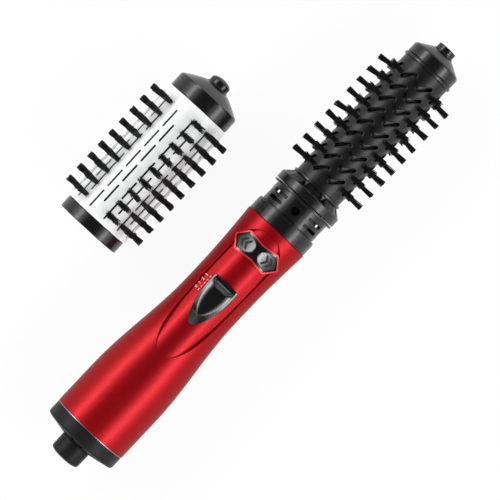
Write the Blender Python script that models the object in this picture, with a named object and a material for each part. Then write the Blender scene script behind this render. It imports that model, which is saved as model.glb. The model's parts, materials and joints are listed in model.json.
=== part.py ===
"""Rotating hot-air styling brush with a second brush head, at real size in metres.

The styler lies on its back with its buttons up. Its axis runs along +X towards the tip.
The second head lies beside it on the +Y side. Pieces are modelled in a local frame whose Z
is the axis of the styler or of the second head, and whose Y points up to the button side.
"""

import math

import bmesh
import bpy
from mathutils import Matrix, Vector

# Clearances
GAP = 0.0003
RUN_GAP = 0.0004

# Roundness
SHELL_SIDES = 22
RING_SIDES = 16
INNER_SIDES = 12
SMALL_SIDES = 8
BOSS_SIDES = 6
CONTROL_SIDES = 30
STRAND_SIDES = 3
SHOULDER_STEPS = 5
FLARE_STEPS = 3
PANEL_CROWN_STEPS = 6
SHIELD_STEPS = 7
DOME_STEPS = 3
SLOT_STEPS = 2
BACKING_STEPS = 5
SMOOTH_ANGLE = math.radians(35)

# Handle shells
SHELL_LENGTH = 0.1594
SHELL_REAR_RADIUS = 0.0251
SHELL_WAIST_RADIUS = 0.0197
SHELL_MOUTH_RADIUS = 0.0217
SHELL_WALL = 0.0030
SHOULDER_START = 0.0283
WAIST_SPAN = 0.0551
FLARE_LENGTH = 0.0431
FLARE_POWER = 1.6

# Thumb panel sunk into the front shell, measured from its own apex
CONTROLS_SPAN = 0.0985
PANEL_LENGTH = 0.0945
PANEL_HALF_WIDTH = 0.0138
PANEL_TAPER = 0.0155
PANEL_NOSE = 0.0140
PANEL_TAPER_SHARES = (0.004, 0.08, 0.25, 0.55, 1.0, 1.7, 2.8)
PANEL_NOSE_SHARES = (0.0, 0.4, 0.7, 0.9, 0.985)
PANEL_SINK = 0.0007
PANEL_FLOOR_RADIUS = 0.0162
PANEL_LEVEL_START = 0.0236
PANEL_LEVEL_END = 0.0654
PANEL_NOSE_RISE = 0.0012
PANEL_NOSE_POWER = 2
PANEL_RISE_POWER = 1.2

# Rear cap and cord gland
GLAND_LENGTH = 0.0117
GLAND_RADIUS = 0.0100
GLAND_DOME = 0.0027
GLAND_STEM_RADIUS = 0.0070
CORD_BORE_RADIUS = 0.0032
GLAND_CLIP_WIDTH = 0.0022
GLAND_CLIP_THICKNESS = 0.0015
CAP_CONE_LENGTH = 0.0034
CAP_BAND_LENGTH = 0.0086
CAP_RADIUS = 0.0249
CAP_WALL = 0.0020
CAP_SPIGOT_LENGTH = 0.0060
INTAKE_SLOTS = 16
INTAKE_SLOT_WIDTH = 0.0019
INTAKE_SLOT_INNER = 0.0125
INTAKE_SLOT_OUTER = 0.0205

# Fan
SCREEN_THICKNESS = 0.0010
SCREEN_WINDOWS = 6
SCREEN_WINDOW_WIDTH = 0.0050
FAN_HUB_RADIUS = 0.0065
FAN_HUB_LENGTH = 0.0105
FAN_TIP_CLEARANCE = 0.0012
FAN_BLADES = 7
FAN_BLADE_CHORD = 0.0090
FAN_BLADE_THICKNESS = 0.0012
FAN_BLADE_ROOT = 0.0052
FAN_BLADE_PITCH = math.radians(48)
FAN_TIP_PITCH = math.radians(62)
FAN_STANDOFF = 0.0020
FAN_MOTOR_RADIUS = 0.0120
FAN_MOTOR_LENGTH = 0.0260
FAN_SHAFT_RADIUS = 0.0010
BRACKET_LENGTH = 0.0100
BRACKET_WALL = 0.0015
BRACKET_OFFSET = 0.0060
SPOKES = 3
SPOKE_WIDTH = 0.0024

# Drive, measured from the thumb panel's apex
GEAR_PLATE_REAR = 0.0277
GEAR_PLATE_THICKNESS = 0.0022
GEAR_PLATE_WINDOWS_AT = (-0.9, -0.3, 0.3, 0.9)
GEAR_PLATE_WINDOW_HALF = 0.24
GEAR_MODULE = 0.0006
GEAR_TEETH = 24
PINION_TEETH = 9
GEAR_FACE = 0.0045
GEAR_STANDOFF = 0.0018
TOOTH_ROOT_SHARE = 0.28
TOOTH_TIP_SHARE = 0.136
ADDENDUM = 0.85
DEDENDUM = 1.25
GEAR_MOTOR_RADIUS = 0.0060
GEAR_MOTOR_LENGTH = 0.0240
GEAR_MOTOR_SHAFT_RADIUS = 0.0008
SHAFT_RADIUS = 0.0020
BUSH_RADIUS = 0.0036
BUSH_FLANGE_RADIUS = 0.0050
BUSH_FLANGE_THICKNESS = 0.0010
BUSH_CLEARANCE = 0.0001
SPIDER_LENGTH = 0.0060
SPIDER_SETBACK = 0.0120
SPIDER_WALL = 0.0012
HUB_LENGTH = 0.0070
HUB_RADIUS = 0.0130
HUB_WALL = 0.0022
HUB_BOSS_RADIUS = 0.0044
DOGS = 3
DOG_HEIGHT = 0.0012
DOG_WIDTH = 0.0030
HUB_SCREW_HEAD_RADIUS = 0.0034
HUB_SCREW_HEAD_LENGTH = 0.0018
HUB_SCREW_SHANK_RADIUS = 0.0010
HUB_SCREW_SHANK_LENGTH = 0.0060

# Heater, measured from the thumb panel's apex
SLEEVE_REAR = 0.0414
SLEEVE_RADIUS = 0.0098
SLEEVE_MOUTH_RADIUS = 0.0145
SLEEVE_WALL = 0.0006
SLEEVE_FLARE_SETBACK = 0.0031
SLEEVE_FLARE_LENGTH = 0.0070
HEATER_SETBACK = 0.0040
HEATER_LENGTH = 0.0460
HEATER_CORE_RADIUS = 0.0034
HEATER_FINS = 4
HEATER_FIN_THICKNESS = 0.0008
HEATER_EAR_LENGTH = 0.0020
COIL_WIRE_RADIUS = 0.0004
COIL_CLEARANCE = 0.0006
COIL_TURNS = 5
COIL_POINTS_PER_TURN = 8
COIL_END_MARGIN = 0.0050
THERMOSTAT_RADIUS = 0.0014
THERMOSTAT_LENGTH = 0.0080
THERMOSTAT_HEIGHT = 0.0047

# Mouth of the handle
FRONT_RING_LENGTH = 0.0094
FRONT_RING_RADIUS = 0.0213
FRONT_SPIGOT_LENGTH = 0.0060
COLLAR_LENGTH = 0.0125
COLLAR_RADIUS = 0.0195
COLLAR_WALL = 0.0020
COLLAR_FLANGE_LENGTH = 0.0015
COLLAR_FLANGE_RADIUS = 0.0219
COLLAR_SPIGOT_LENGTH = 0.0060
COLLAR_SPIGOT_WALL = 0.0014
COLLAR_WEB = 0.0064
COLLAR_HOLES = 4
COLLAR_HOLE_RADIUS = 0.0027
COLLAR_HOLE_AT = 0.0064
COLLAR_SLOT_WIDTH = 0.0020
COLLAR_SLOTS_AT = (0.0041, 0.0088)
COLLAR_SLOT_START = math.radians(27)
COLLAR_SLOT_END = math.radians(61)

# Slider, measured from the thumb panel's apex
SLIDER_APEX = 0.0244
SLIDER_LENGTH = 0.0325
SLIDER_HALF_WIDTH = 0.0094
SLIDER_POINT = 0.6
SLIDER_SHOULDER = 0.0270
SLIDER_BOW = 0.0007
SLIDER_HEIGHT = 0.0021
SLIDER_TRAVEL = 0.0070
DISH_APEX = 0.0075
DISH_FRONT_RIM = 0.0018
DISH_HALF_WIDTH = 0.0072
DISH_DEPTH = 0.0014
DISH_FLOOR_SHARES = (0.15, 0.75)
STEM_AT = 0.0130
STEM_WIDTH = 0.0022
STEM_LENGTH = 0.0040

# Direction buttons, measured from the thumb panel's apex and from its middle line
BUTTONS_AT = 0.0814
BEZEL_REACH = 0.0159
BEZEL_CORNER = 0.0109
BEZEL_HALF_LENGTH = 0.0064
BEZEL_WAIST = 0.0049
BEZEL_RADIUS = 0.0204
BUTTON_INNER = 0.0019
BUTTON_RIM = 0.0012
BUTTON_SHOULDERS = (0.55, 0.85)
BUTTON_PROUD = 0.0009
BUTTON_THICKNESS = 0.0031
BUTTON_TRAVEL = 0.0012
BUTTON_STEM = 0.0030
TACT_AT = 0.0065
TACT_SIZE = 0.0044
TACT_HEIGHT = 0.0016

# Control board, measured from the thumb panel's apex and from the axis
BOARD_REAR = 0.0344
BOARD_LENGTH = 0.0578
BOARD_HALF_WIDTH = 0.0096
BOARD_HEIGHT = 0.0107
BOARD_THICKNESS = 0.0012
BOARD_POST_RADIUS = 0.0015
BOARD_POST_INSET = 0.0019
SLIDE_SWITCH_LENGTH = 0.0165
SLIDE_SWITCH_WIDTH = 0.0060
SLIDE_SWITCH_HEIGHT = 0.0030

# Screws of the handle shells, measured from the thumb panel's apex and from the axis
SCREWS_AT = 0.0154
SCREW_OFFSET = 0.0130
SCREW_HEAD_RADIUS = 0.0020
SCREW_HEAD_LENGTH = 0.0014
SCREW_SHANK_RADIUS = 0.0011
SCREW_SHANK_LENGTH = 0.0130
SCREW_SEAT_DEPTH = 0.0075
BOSS_WALL = 0.0014

# Tufts and their strips, on both heads
TUFTS_PER_ROW = 9
STRIP_HEIGHT = 0.0022
RIB_WIDTH = 0.0019
RIB_MARGIN = 0.0050

# Walls and seats of both heads
BARREL_WALL = 0.0014
TUBE_WALL = 0.0007
HEAD_SPIGOT_LENGTH = 0.0040
SOCKET_WEB = 0.0020
PASSAGE_RADIUS = 0.0100
CAP_SHELL = 0.0018
KNOB_STEM_RADIUS = 0.0027
KNOB_STEM_LENGTH = 0.0045
TUBE_WINDOW_WIDTH = 0.0036
TUBE_WINDOW_MARGIN = 0.0080

# Fitted head
HEAD_FLANGE_LENGTH = 0.0059
HEAD_FLANGE_RADIUS = 0.0221
HEAD_CONE_LENGTH = 0.0041
HEAD_CONE_RADIUS = 0.0167
HEAD_LIP_LENGTH = 0.0016
HEAD_LIP_RADIUS = 0.0175
HEAD_VENTS = 8
HEAD_VENT_WIDTH = 0.0022
HEAD_BARREL_LENGTH = 0.0924
HEAD_BARREL_RADIUS = 0.0163
HEAD_ROWS = 8
HEAD_FIRST_TUFT = 0.0083
HEAD_LAST_TUFT = 0.0097
HEAD_TIP_RADIUS = 0.0272
HEAD_STRAND_ROOT_RADIUS = 0.00042
HEAD_STRAND_TIP_RADIUS = 0.0008
HEAD_STRANDS_PER_TUFT = 2
HEAD_ROW_FACET = math.radians(4.8)
HEAD_TUFT_TWIST = math.radians(45)
HEAD_TUFT_TURN = math.radians(1)
HEAD_TUFT_ROOT = 0.00065
HEAD_TUFT_SPREAD = 0.0012
AIR_SLOT_LENGTH = 0.0100
AIR_SLOT_WIDTH = 0.0019
AIR_SLOT_TILT = math.radians(51)
AIR_SLOT_LEAD = 0.0009
END_RING_LENGTH = 0.0024
END_RING_RADIUS = 0.0174
END_BAND_LENGTH = 0.0070
END_BAND_RADIUS = 0.0167
END_CONE_LENGTH = 0.0053
END_NECK_RADIUS = 0.0071
TIP_KNOB_LENGTH = 0.0044
TIP_KNOB_RADIUS = 0.0062
TIP_KNOB_EDGE = 0.0008

# Second head
SPARE_SPACING = 0.0823
SPARE_ALONG = 0.1080
SPARE_TURN = math.radians(0.8)
SPARE_BASE_LENGTH = 0.0079
SPARE_BASE_RADIUS = 0.0211
SPARE_BARREL_LENGTH = 0.0880
SPARE_BARREL_RADIUS = 0.0218
SPARE_BAND_LENGTH = 0.0092
SPARE_BAND_RADIUS = 0.0214
SPARE_CONE_LENGTH = 0.0076
SPARE_NECK_RADIUS = 0.0072
SPARE_CONE_BULGE = 0.0012
SPARE_KNOB_LENGTH = 0.0059
SPARE_KNOB_RADIUS = 0.0067
SPARE_KNOB_EDGE = 0.0022
SPARE_POSITIONS = 12
SPARE_FIRST_ROW = math.radians(16)
SPARE_PANELS = 3
SPARE_ROWS_PER_PANEL = 3
SPARE_PANEL_EDGE = math.radians(7)
SPARE_FIRST_TUFT = 0.0071
SPARE_LAST_TUFT = 0.0081
SPARE_TIP_RADIUS = 0.0296
SPARE_STAND = 0.0291
SPARE_STRAND_HALF_LENGTH = 0.0014
SPARE_STRAND_ROOT_HALF = 0.00034
SPARE_STRAND_TIP_HALF = 0.0018
SPARE_STRANDS_PER_TUFT = 2
SPARE_TUFT_ROOT = 0.00050
SPARE_TUFT_SPREAD = 0.0023
SPARE_ROW_FACET = math.radians(4.05)
SLIT_ANGLE = math.radians(6.1)
SLIT_LENGTH = 0.0130
SLIT_WIDTH = 0.0009
SLIT_PITCH = 0.0157
SLIT_MARGIN = 0.0030

# Stations along the styler's axis
CAP_REAR = GLAND_LENGTH
BAND_REAR = CAP_REAR + CAP_CONE_LENGTH
SHELL_REAR = BAND_REAR + CAP_BAND_LENGTH
SHELL_FRONT = SHELL_REAR + SHELL_LENGTH
CONTROLS_REAR = SHELL_FRONT - CONTROLS_SPAN
RING_FRONT = SHELL_FRONT + FRONT_RING_LENGTH
COLLAR_FRONT = RING_FRONT + COLLAR_LENGTH
FLANGE_FRONT = COLLAR_FRONT + COLLAR_FLANGE_LENGTH
HEAD_REAR = FLANGE_FRONT + RUN_GAP
HEAD_CONE_REAR = HEAD_REAR + HEAD_FLANGE_LENGTH
HEAD_LIP_REAR = HEAD_CONE_REAR + HEAD_CONE_LENGTH
BARREL_REAR = HEAD_LIP_REAR + HEAD_LIP_LENGTH
BARREL_FRONT = BARREL_REAR + HEAD_BARREL_LENGTH
END_BAND_REAR = BARREL_FRONT + END_RING_LENGTH
END_CONE_REAR = END_BAND_REAR + END_BAND_LENGTH
KNOB_REAR = END_CONE_REAR + END_CONE_LENGTH

# Stations along the second head's axis, from its own rear face
SPARE_BARREL_REAR = SPARE_BASE_LENGTH
SPARE_BARREL_FRONT = SPARE_BARREL_REAR + SPARE_BARREL_LENGTH
SPARE_CONE_REAR = SPARE_BARREL_FRONT + SPARE_BAND_LENGTH
SPARE_KNOB_REAR = SPARE_CONE_REAR + SPARE_CONE_LENGTH
SPARE_OVERALL = SPARE_KNOB_REAR + SPARE_KNOB_LENGTH

# Sizes that follow from the ones above
SEAM = GAP / 2
SHOULDER_LENGTH = SHELL_LENGTH - WAIST_SPAN - SHOULDER_START
FLARE_START = SHELL_LENGTH - FLARE_LENGTH
SPARE_ROW_STEP = 2 * math.pi / SPARE_POSITIONS
HEAD_ROW_STEP = 2 * math.pi / HEAD_ROWS
HEAD_TUFT_PITCH = (HEAD_BARREL_LENGTH - HEAD_FIRST_TUFT - HEAD_LAST_TUFT) / (TUFTS_PER_ROW - 1)
SPARE_TUFT_PITCH = (SPARE_BARREL_LENGTH - SPARE_FIRST_TUFT - SPARE_LAST_TUFT) / (TUFTS_PER_ROW - 1)
GEAR_PITCH_RADIUS = GEAR_MODULE * GEAR_TEETH / 2
PINION_PITCH_RADIUS = GEAR_MODULE * PINION_TEETH / 2
GEAR_CENTRES = GEAR_PITCH_RADIUS + PINION_PITCH_RADIUS
GEAR_PLATE_FRONT = CONTROLS_REAR + GEAR_PLATE_REAR + GEAR_PLATE_THICKNESS
GEAR_REAR = GEAR_PLATE_FRONT + GEAR_STANDOFF
GEAR_FRONT = GEAR_REAR + GEAR_FACE
HUB_REAR = HEAD_REAR
HUB_FRONT = HUB_REAR + HUB_LENGTH
SOCKET_RADIUS = HUB_RADIUS + RUN_GAP
SOCKET_DEPTH = HUB_LENGTH + HUB_SCREW_HEAD_LENGTH + 2 * GAP
KEYWAY_RADIUS = SOCKET_RADIUS + DOG_HEIGHT + GAP
BOARD_TOP = BOARD_HEIGHT + BOARD_THICKNESS
PANEL_FLOOR_TOP = SHELL_WAIST_RADIUS - PANEL_SINK
PANEL_FLOOR_CENTRE = PANEL_FLOOR_TOP - PANEL_FLOOR_RADIUS
SPREAD_LIMIT = 4 * SHELL_REAR_RADIUS
FLAT_ANGLE = math.radians(0.2)
WELD_DISTANCE = GAP / 15

# Materials


def finish(name, colour, roughness, metallic=0.0):
    """A Principled BSDF material."""
    material = bpy.data.materials.new(name)
    material.use_nodes = True
    shader = material.node_tree.nodes["Principled BSDF"]
    shader.inputs["Base Color"].default_value = (*colour, 1.0)
    shader.inputs["Roughness"].default_value = roughness
    shader.inputs["Metallic"].default_value = metallic
    return material


# Mesh tools


def turned(profile, sides, phase=0.0):
    """Solid of revolution about Z from a closed profile of (radius, z), or one that ends on the axis."""
    bm = bmesh.new()
    start = Matrix.Rotation(phase, 3, "Z")
    ring = [bm.verts.new(start @ Vector((radius, 0, z))) for radius, z in profile]
    pairs = list(zip(ring, ring[1:]))
    if profile[0][0] > 0 or profile[-1][0] > 0:
        pairs.append((ring[-1], ring[0]))
    edges = [bm.edges.new(pair) for pair in pairs]
    bmesh.ops.spin(bm, geom=ring + edges, axis=(0, 0, 1), cent=(0, 0, 0), angle=2 * math.pi, steps=sides,
                   use_merge=True)
    bmesh.ops.remove_doubles(bm, verts=bm.verts, dist=GAP / 100)
    bmesh.ops.recalc_face_normals(bm, faces=bm.faces)
    return bm


def pipe(outer, inner, rear, front, sides, phase=0.0):
    """Plain tube along Z."""
    return turned([(inner, rear), (outer, rear), (outer, front), (inner, front)], sides, phase)


def rod(radius, rear, front, sides):
    """Plain cylinder along Z."""
    return turned([(0, rear), (radius, rear), (radius, front), (0, front)], sides)


def loft(loops, bm=None):
    """Closed solid through loops of equal length, capped at both ends."""
    bm = bm or bmesh.new()
    rows = [[bm.verts.new(point) for point in loop] for loop in loops]
    count = len(rows[0])
    for near, far in zip(rows, rows[1:]):
        for index in range(count):
            after = (index + 1) % count
            bm.faces.new((near[index], near[after], far[after], far[index]))
    bm.faces.new(rows[0])
    bm.faces.new(rows[-1])
    bmesh.ops.recalc_face_normals(bm, faces=bm.faces)
    return bm


def upright(outline, low, high, bm=None, matrix=None):
    """Prism of an outline of (x, z), from low to high along Y."""
    matrix = matrix or Matrix.Identity(4)
    loops = [[matrix @ Vector((x, y, z)) for x, z in outline] for y in (low, high)]
    return loft(loops, bm)


def prism(outline, rear, front, bm=None):
    """Prism of an outline of (x, y), from rear to front along Z."""
    return loft([[Vector((x, y, z)) for x, y in outline] for z in (rear, front)], bm)


def brick(low, high, bm=None, matrix=None):
    """Box between two corners."""
    outline = [(low[0], low[2]), (high[0], low[2]), (high[0], high[2]), (low[0], high[2])]
    return upright(outline, low[1], high[1], bm, matrix)


def about_axis(angle):
    """Turn about Z that takes the button side round by an angle."""
    return Matrix.Rotation(angle, 4, "Z")


def sector(inner, outer, rear, front, start, end, steps, bm=None):
    """Piece of a tube between two angles from the button side."""
    loops = []
    for step in range(steps + 1):
        turn = about_axis(start + (end - start) * step / steps)
        corners = ((inner, rear), (outer, rear), (outer, front), (inner, front))
        loops.append([turn @ Vector((0, radius, z)) for radius, z in corners])
    return loft(loops, bm)


def circle(radius, sides, centre=(0.0, 0.0)):
    """Points round a circle."""
    turns = [2 * math.pi * (index + 0.5) / sides for index in range(sides)]
    return [(centre[0] + radius * math.cos(turn), centre[1] + radius * math.sin(turn)) for turn in turns]


def grown(outline, margin):
    """Outline moved outwards by a margin on every side, for an outline that runs anticlockwise."""
    moved = []
    for index, point in enumerate(outline):
        here = Vector(point)
        before = (here - Vector(outline[index - 1])).normalized()
        after = (Vector(outline[(index + 1) % len(outline)]) - here).normalized()
        normal_before = Vector((before.y, -before.x))
        normal_after = Vector((after.y, -after.x))
        middle = (normal_before + normal_after).normalized()
        moved.append(tuple(here + middle * margin / middle.dot(normal_before)))
    return moved


def place(name, bm, material, parent):
    """Object for one piece, shaded smooth with sharp edges kept."""
    mesh = bpy.data.meshes.new(name)
    bm.to_mesh(mesh)
    bm.free()
    mesh.shade_smooth()
    mesh.set_sharp_from_angle(angle=SMOOTH_ANGLE)
    mesh.materials.append(material)
    return place_mesh(name, mesh, parent)


def place_mesh(name, mesh, parent):
    """Object for a mesh, parented to an axis."""
    piece = bpy.data.objects.new(name, mesh)
    piece.parent = parent
    bpy.context.collection.objects.link(piece)
    return piece


def shape(piece, bm, operation):
    """Cut, join or trim a piece by a hidden helper solid."""
    mesh = bpy.data.meshes.new(piece.name + "_helper")
    bm.to_mesh(mesh)
    bm.free()
    helper = place_mesh(mesh.name, mesh, piece.parent)
    helper.location = piece.location
    helper.hide_render = True
    helper.display_type = "WIRE"
    modifier = piece.modifiers.new(operation.lower(), "BOOLEAN")
    modifier.operation = operation
    modifier.solver = "EXACT"
    modifier.object = helper


def merge_flats(piece):
    """Merge what the Booleans left split in flat faces and straight edges."""
    weld = piece.modifiers.new("weld", "WELD")
    weld.merge_threshold = WELD_DISTANCE
    modifier = piece.modifiers.new("flats", "DECIMATE")
    modifier.decimate_type = "DISSOLVE"
    modifier.angle_limit = FLAT_ANGLE


def baked(piece):
    """Mesh of a piece with its modifiers applied. The piece and its helpers are removed."""
    helpers = [modifier.object for modifier in piece.modifiers if modifier.type == "BOOLEAN"]
    merge_flats(piece)
    graph = bpy.context.evaluated_depsgraph_get()
    mesh = bpy.data.meshes.new_from_object(piece.evaluated_get(graph), depsgraph=graph)
    for old in [piece] + helpers:
        bpy.data.objects.remove(old)
    return mesh


def axis_empty(name, location, turn=0.0):
    """Empty whose local Z lies along the world's X and whose local Y points up."""
    empty = bpy.data.objects.new(name, None)
    empty.location = location
    empty.rotation_euler = (math.pi / 2, 0, math.pi / 2 + turn)
    bpy.context.collection.objects.link(empty)
    return empty


# Handle shape


def shell_radius(z):
    """Outer radius of the handle at a station along the axis."""
    along = z - SHELL_REAR
    if along <= SHOULDER_START:
        return SHELL_REAR_RADIUS
    if along < SHOULDER_START + SHOULDER_LENGTH:
        share = (along - SHOULDER_START) / SHOULDER_LENGTH
        drop = SHELL_REAR_RADIUS - SHELL_WAIST_RADIUS
        return SHELL_WAIST_RADIUS + drop * (1 + math.cos(math.pi * share)) / 2
    if along <= FLARE_START:
        return SHELL_WAIST_RADIUS
    share = (along - FLARE_START) / (SHELL_LENGTH - FLARE_START)
    return SHELL_WAIST_RADIUS + (SHELL_MOUTH_RADIUS - SHELL_WAIST_RADIUS) * share ** FLARE_POWER


def shell_inside(z):
    """Inner radius of the handle at a station along the axis."""
    return shell_radius(z) - SHELL_WALL


def flat_inside(z):
    """Largest radius that clears the facets of the handle's inner wall."""
    return shell_inside(z) * math.cos(math.pi / SHELL_SIDES) - GAP


def spaced(start, end, steps):
    """Evenly spaced stations, both ends included."""
    return [start + (end - start) * step / steps for step in range(steps + 1)]


def shell_stations():
    """Stations that the handle's profile needs."""
    shoulder = spaced(SHELL_REAR + SHOULDER_START, SHELL_REAR + SHOULDER_START + SHOULDER_LENGTH,
                      SHOULDER_STEPS)
    flare = spaced(SHELL_REAR + FLARE_START, SHELL_FRONT - SEAM, FLARE_STEPS)
    return [SHELL_REAR + SEAM] + shoulder + flare


def half_shell(upper):
    """One half of the handle's turned wall, cut level with the axis."""
    stations = shell_stations()
    outside = [(shell_radius(z), z) for z in stations]
    inside = [(shell_inside(z), z) for z in reversed(stations)]
    bm = turned(outside + inside, SHELL_SIDES)
    side = 1 if upper else -1
    bmesh.ops.bisect_plane(bm, geom=bm.verts[:] + bm.edges[:] + bm.faces[:], plane_co=(0, side * SEAM, 0),
                           plane_no=(0, side, 0), clear_inner=True)
    rim = [edge for edge in bm.edges if edge.is_boundary]
    bmesh.ops.holes_fill(bm, edges=rim, sides=0)
    bmesh.ops.recalc_face_normals(bm, faces=bm.faces)
    return bm


def panel_half_width(along):
    """Half width of the thumb panel at a distance from its apex."""
    width = PANEL_HALF_WIDTH * math.sqrt(1 - math.exp(-along / PANEL_TAPER))
    into_nose = along - (PANEL_LENGTH - PANEL_NOSE)
    if into_nose > 0:
        width *= math.sqrt(max(0.0, 1 - (into_nose / PANEL_NOSE) ** 2))
    return width


def panel_floor(z):
    """Height of the thumb panel's floor above the axis, on its middle line."""
    along = z - CONTROLS_REAR
    if along < PANEL_LEVEL_START:
        share = (PANEL_LEVEL_START - along) / PANEL_LEVEL_START
        rise = shell_radius(CONTROLS_REAR) - PANEL_FLOOR_TOP
        return PANEL_FLOOR_TOP + rise * share ** PANEL_RISE_POWER
    if along > PANEL_LEVEL_END:
        share = (along - PANEL_LEVEL_END) / (PANEL_LENGTH - PANEL_LEVEL_END)
        return PANEL_FLOOR_TOP + PANEL_NOSE_RISE * share ** PANEL_NOSE_POWER
    return PANEL_FLOOR_TOP


def panel_cutter():
    """Solid above the thumb panel's crowned floor."""
    nose_steps = [PANEL_LENGTH - PANEL_NOSE * (1 - share) for share in PANEL_NOSE_SHARES]
    rear_steps = [PANEL_TAPER * share for share in PANEL_TAPER_SHARES]
    loops = []
    for along in rear_steps + nose_steps:
        z = CONTROLS_REAR + along
        half = panel_half_width(along)
        centre = panel_floor(z) - PANEL_FLOOR_RADIUS
        loop = [Vector((-half, SPREAD_LIMIT, z))]
        for x in spaced(-half, half, PANEL_CROWN_STEPS):
            loop.append(Vector((x, centre + math.sqrt(PANEL_FLOOR_RADIUS ** 2 - x ** 2), z)))
        loop.append(Vector((half, SPREAD_LIMIT, z)))
        loops.append(loop)
    return loft(loops)


def shield(apex, length, half_width, shoulder, bow):
    """Outline of a shield, pointed at the rear and slightly bowed at the front."""
    side = []
    for along in spaced(0, shoulder, SHIELD_STEPS)[1:]:
        share = 1 - (1 - along / shoulder) ** 2
        side.append((half_width * share ** SLIDER_POINT, apex + along))
    side.append((half_width, apex + length - bow))
    mirrored = [(-x, z) for x, z in reversed(side)]
    return [(0.0, apex)] + side + [(0.0, apex + length)] + mirrored


def bezel_outline():
    """Bow-tie outline round the two direction buttons."""
    z = CONTROLS_REAR + BUTTONS_AT
    right = [(0.0, z - BEZEL_WAIST), (BEZEL_CORNER, z - BEZEL_HALF_LENGTH), (BEZEL_REACH, z),
             (BEZEL_CORNER, z + BEZEL_HALF_LENGTH)]
    left = [(-x, 2 * z - along) for x, along in right]
    return right + left


def button_outline(side):
    """Outline of one direction button, rounded at the middle and pointed outside."""
    z = CONTROLS_REAR + BUTTONS_AT
    reach = BEZEL_REACH - BUTTON_RIM
    half = BEZEL_HALF_LENGTH - BUTTON_RIM
    belly = (BUTTON_INNER + BEZEL_CORNER) / 2
    points = [(BUTTON_INNER, z), ((BUTTON_INNER + belly) / 2, z - half * BUTTON_SHOULDERS[0]),
              (belly, z - half * BUTTON_SHOULDERS[1]), (BEZEL_CORNER, z - half), (reach, z)]
    mirrored = [(x, 2 * z - along) for x, along in reversed(points[1:-1])]
    outline = points + mirrored
    if side > 0:
        return outline
    return [(-x, along) for x, along in reversed(outline)]


def arc_plate(inner, outer, half_length):
    """Tube round the axis, long enough to trim the buttons and their bezel from."""
    middle = CONTROLS_REAR + BUTTONS_AT
    return pipe(outer, inner, middle - half_length, middle + half_length, CONTROL_SIDES)


# Pieces of the handle


def make_front_shell(axis, red):
    shell = place("front_shell", half_shell(True), red, axis)
    posts = bmesh.new()
    for x, z in board_posts():
        top = math.sqrt(shell_inside(z) ** 2 - x ** 2) + SHELL_WALL / 3
        upright(circle(BOARD_POST_RADIUS, BOSS_SIDES, (x, z)), BOARD_TOP + GAP, top, posts)
    for x, z in screw_places():
        top = math.sqrt(shell_inside(z) ** 2 - x ** 2) + GAP
        upright(circle(SCREW_SHANK_RADIUS + GAP + BOSS_WALL, BOSS_SIDES, (x, z)), SEAM, top, posts)
    shape(shell, posts, "UNION")
    shape(shell, panel_cutter(), "DIFFERENCE")
    cuts = upright(grown(bezel_outline(), GAP), 0, SPREAD_LIMIT)
    stem_rear = CONTROLS_REAR + SLIDER_APEX + STEM_AT
    brick((-STEM_WIDTH / 2 - GAP, BOARD_TOP, stem_rear - GAP),
          (STEM_WIDTH / 2 + GAP, SPREAD_LIMIT, stem_rear + STEM_LENGTH + SLIDER_TRAVEL + GAP), cuts)
    pilot_top = SCREW_SHANK_LENGTH - SCREW_SEAT_DEPTH + GAP
    for x, z in screw_places():
        upright(circle(SCREW_SHANK_RADIUS + GAP, BOSS_SIDES, (x, z)), -GAP, pilot_top, cuts)
    shape(shell, cuts, "DIFFERENCE")


def make_back_shell(axis, red):
    shell = place("back_shell", half_shell(False), red, axis)
    posts = bmesh.new()
    cuts = bmesh.new()
    for x, z in screw_places():
        low = -math.sqrt(shell_inside(z) ** 2 - x ** 2) - GAP
        upright(circle(SCREW_HEAD_RADIUS + GAP + BOSS_WALL, BOSS_SIDES, (x, z)), low, -SEAM, posts)
        head_hole = circle(SCREW_HEAD_RADIUS + GAP, BOSS_SIDES, (x, z))
        upright(head_hole, -SHELL_REAR_RADIUS, -SCREW_SEAT_DEPTH, cuts)
        upright(circle(SCREW_SHANK_RADIUS + GAP, BOSS_SIDES, (x, z)), -SCREW_SEAT_DEPTH - GAP, GAP, cuts)
    shape(shell, posts, "UNION")
    shape(shell, cuts, "DIFFERENCE")


def screw_places():
    """Middle of each shell screw, as (x, z)."""
    return [(side * SCREW_OFFSET, CONTROLS_REAR + SCREWS_AT) for side in (1, -1)]


def make_shell_screws(axis, steel):
    for index, (x, z) in enumerate(screw_places(), 1):
        seat = -SCREW_SEAT_DEPTH - GAP
        profile = [(0, -SCREW_HEAD_LENGTH), (SCREW_HEAD_RADIUS, -SCREW_HEAD_LENGTH), (SCREW_HEAD_RADIUS, 0),
                   (SCREW_SHANK_RADIUS, 0), (SCREW_SHANK_RADIUS, SCREW_SHANK_LENGTH), (0, SCREW_SHANK_LENGTH)]
        screw = place(f"shell_screw_{index}", turned(profile, BOSS_SIDES), steel, axis)
        screw.location = (x, seat, z)
        screw.rotation_euler = (-math.pi / 2, 0, 0)


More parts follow.
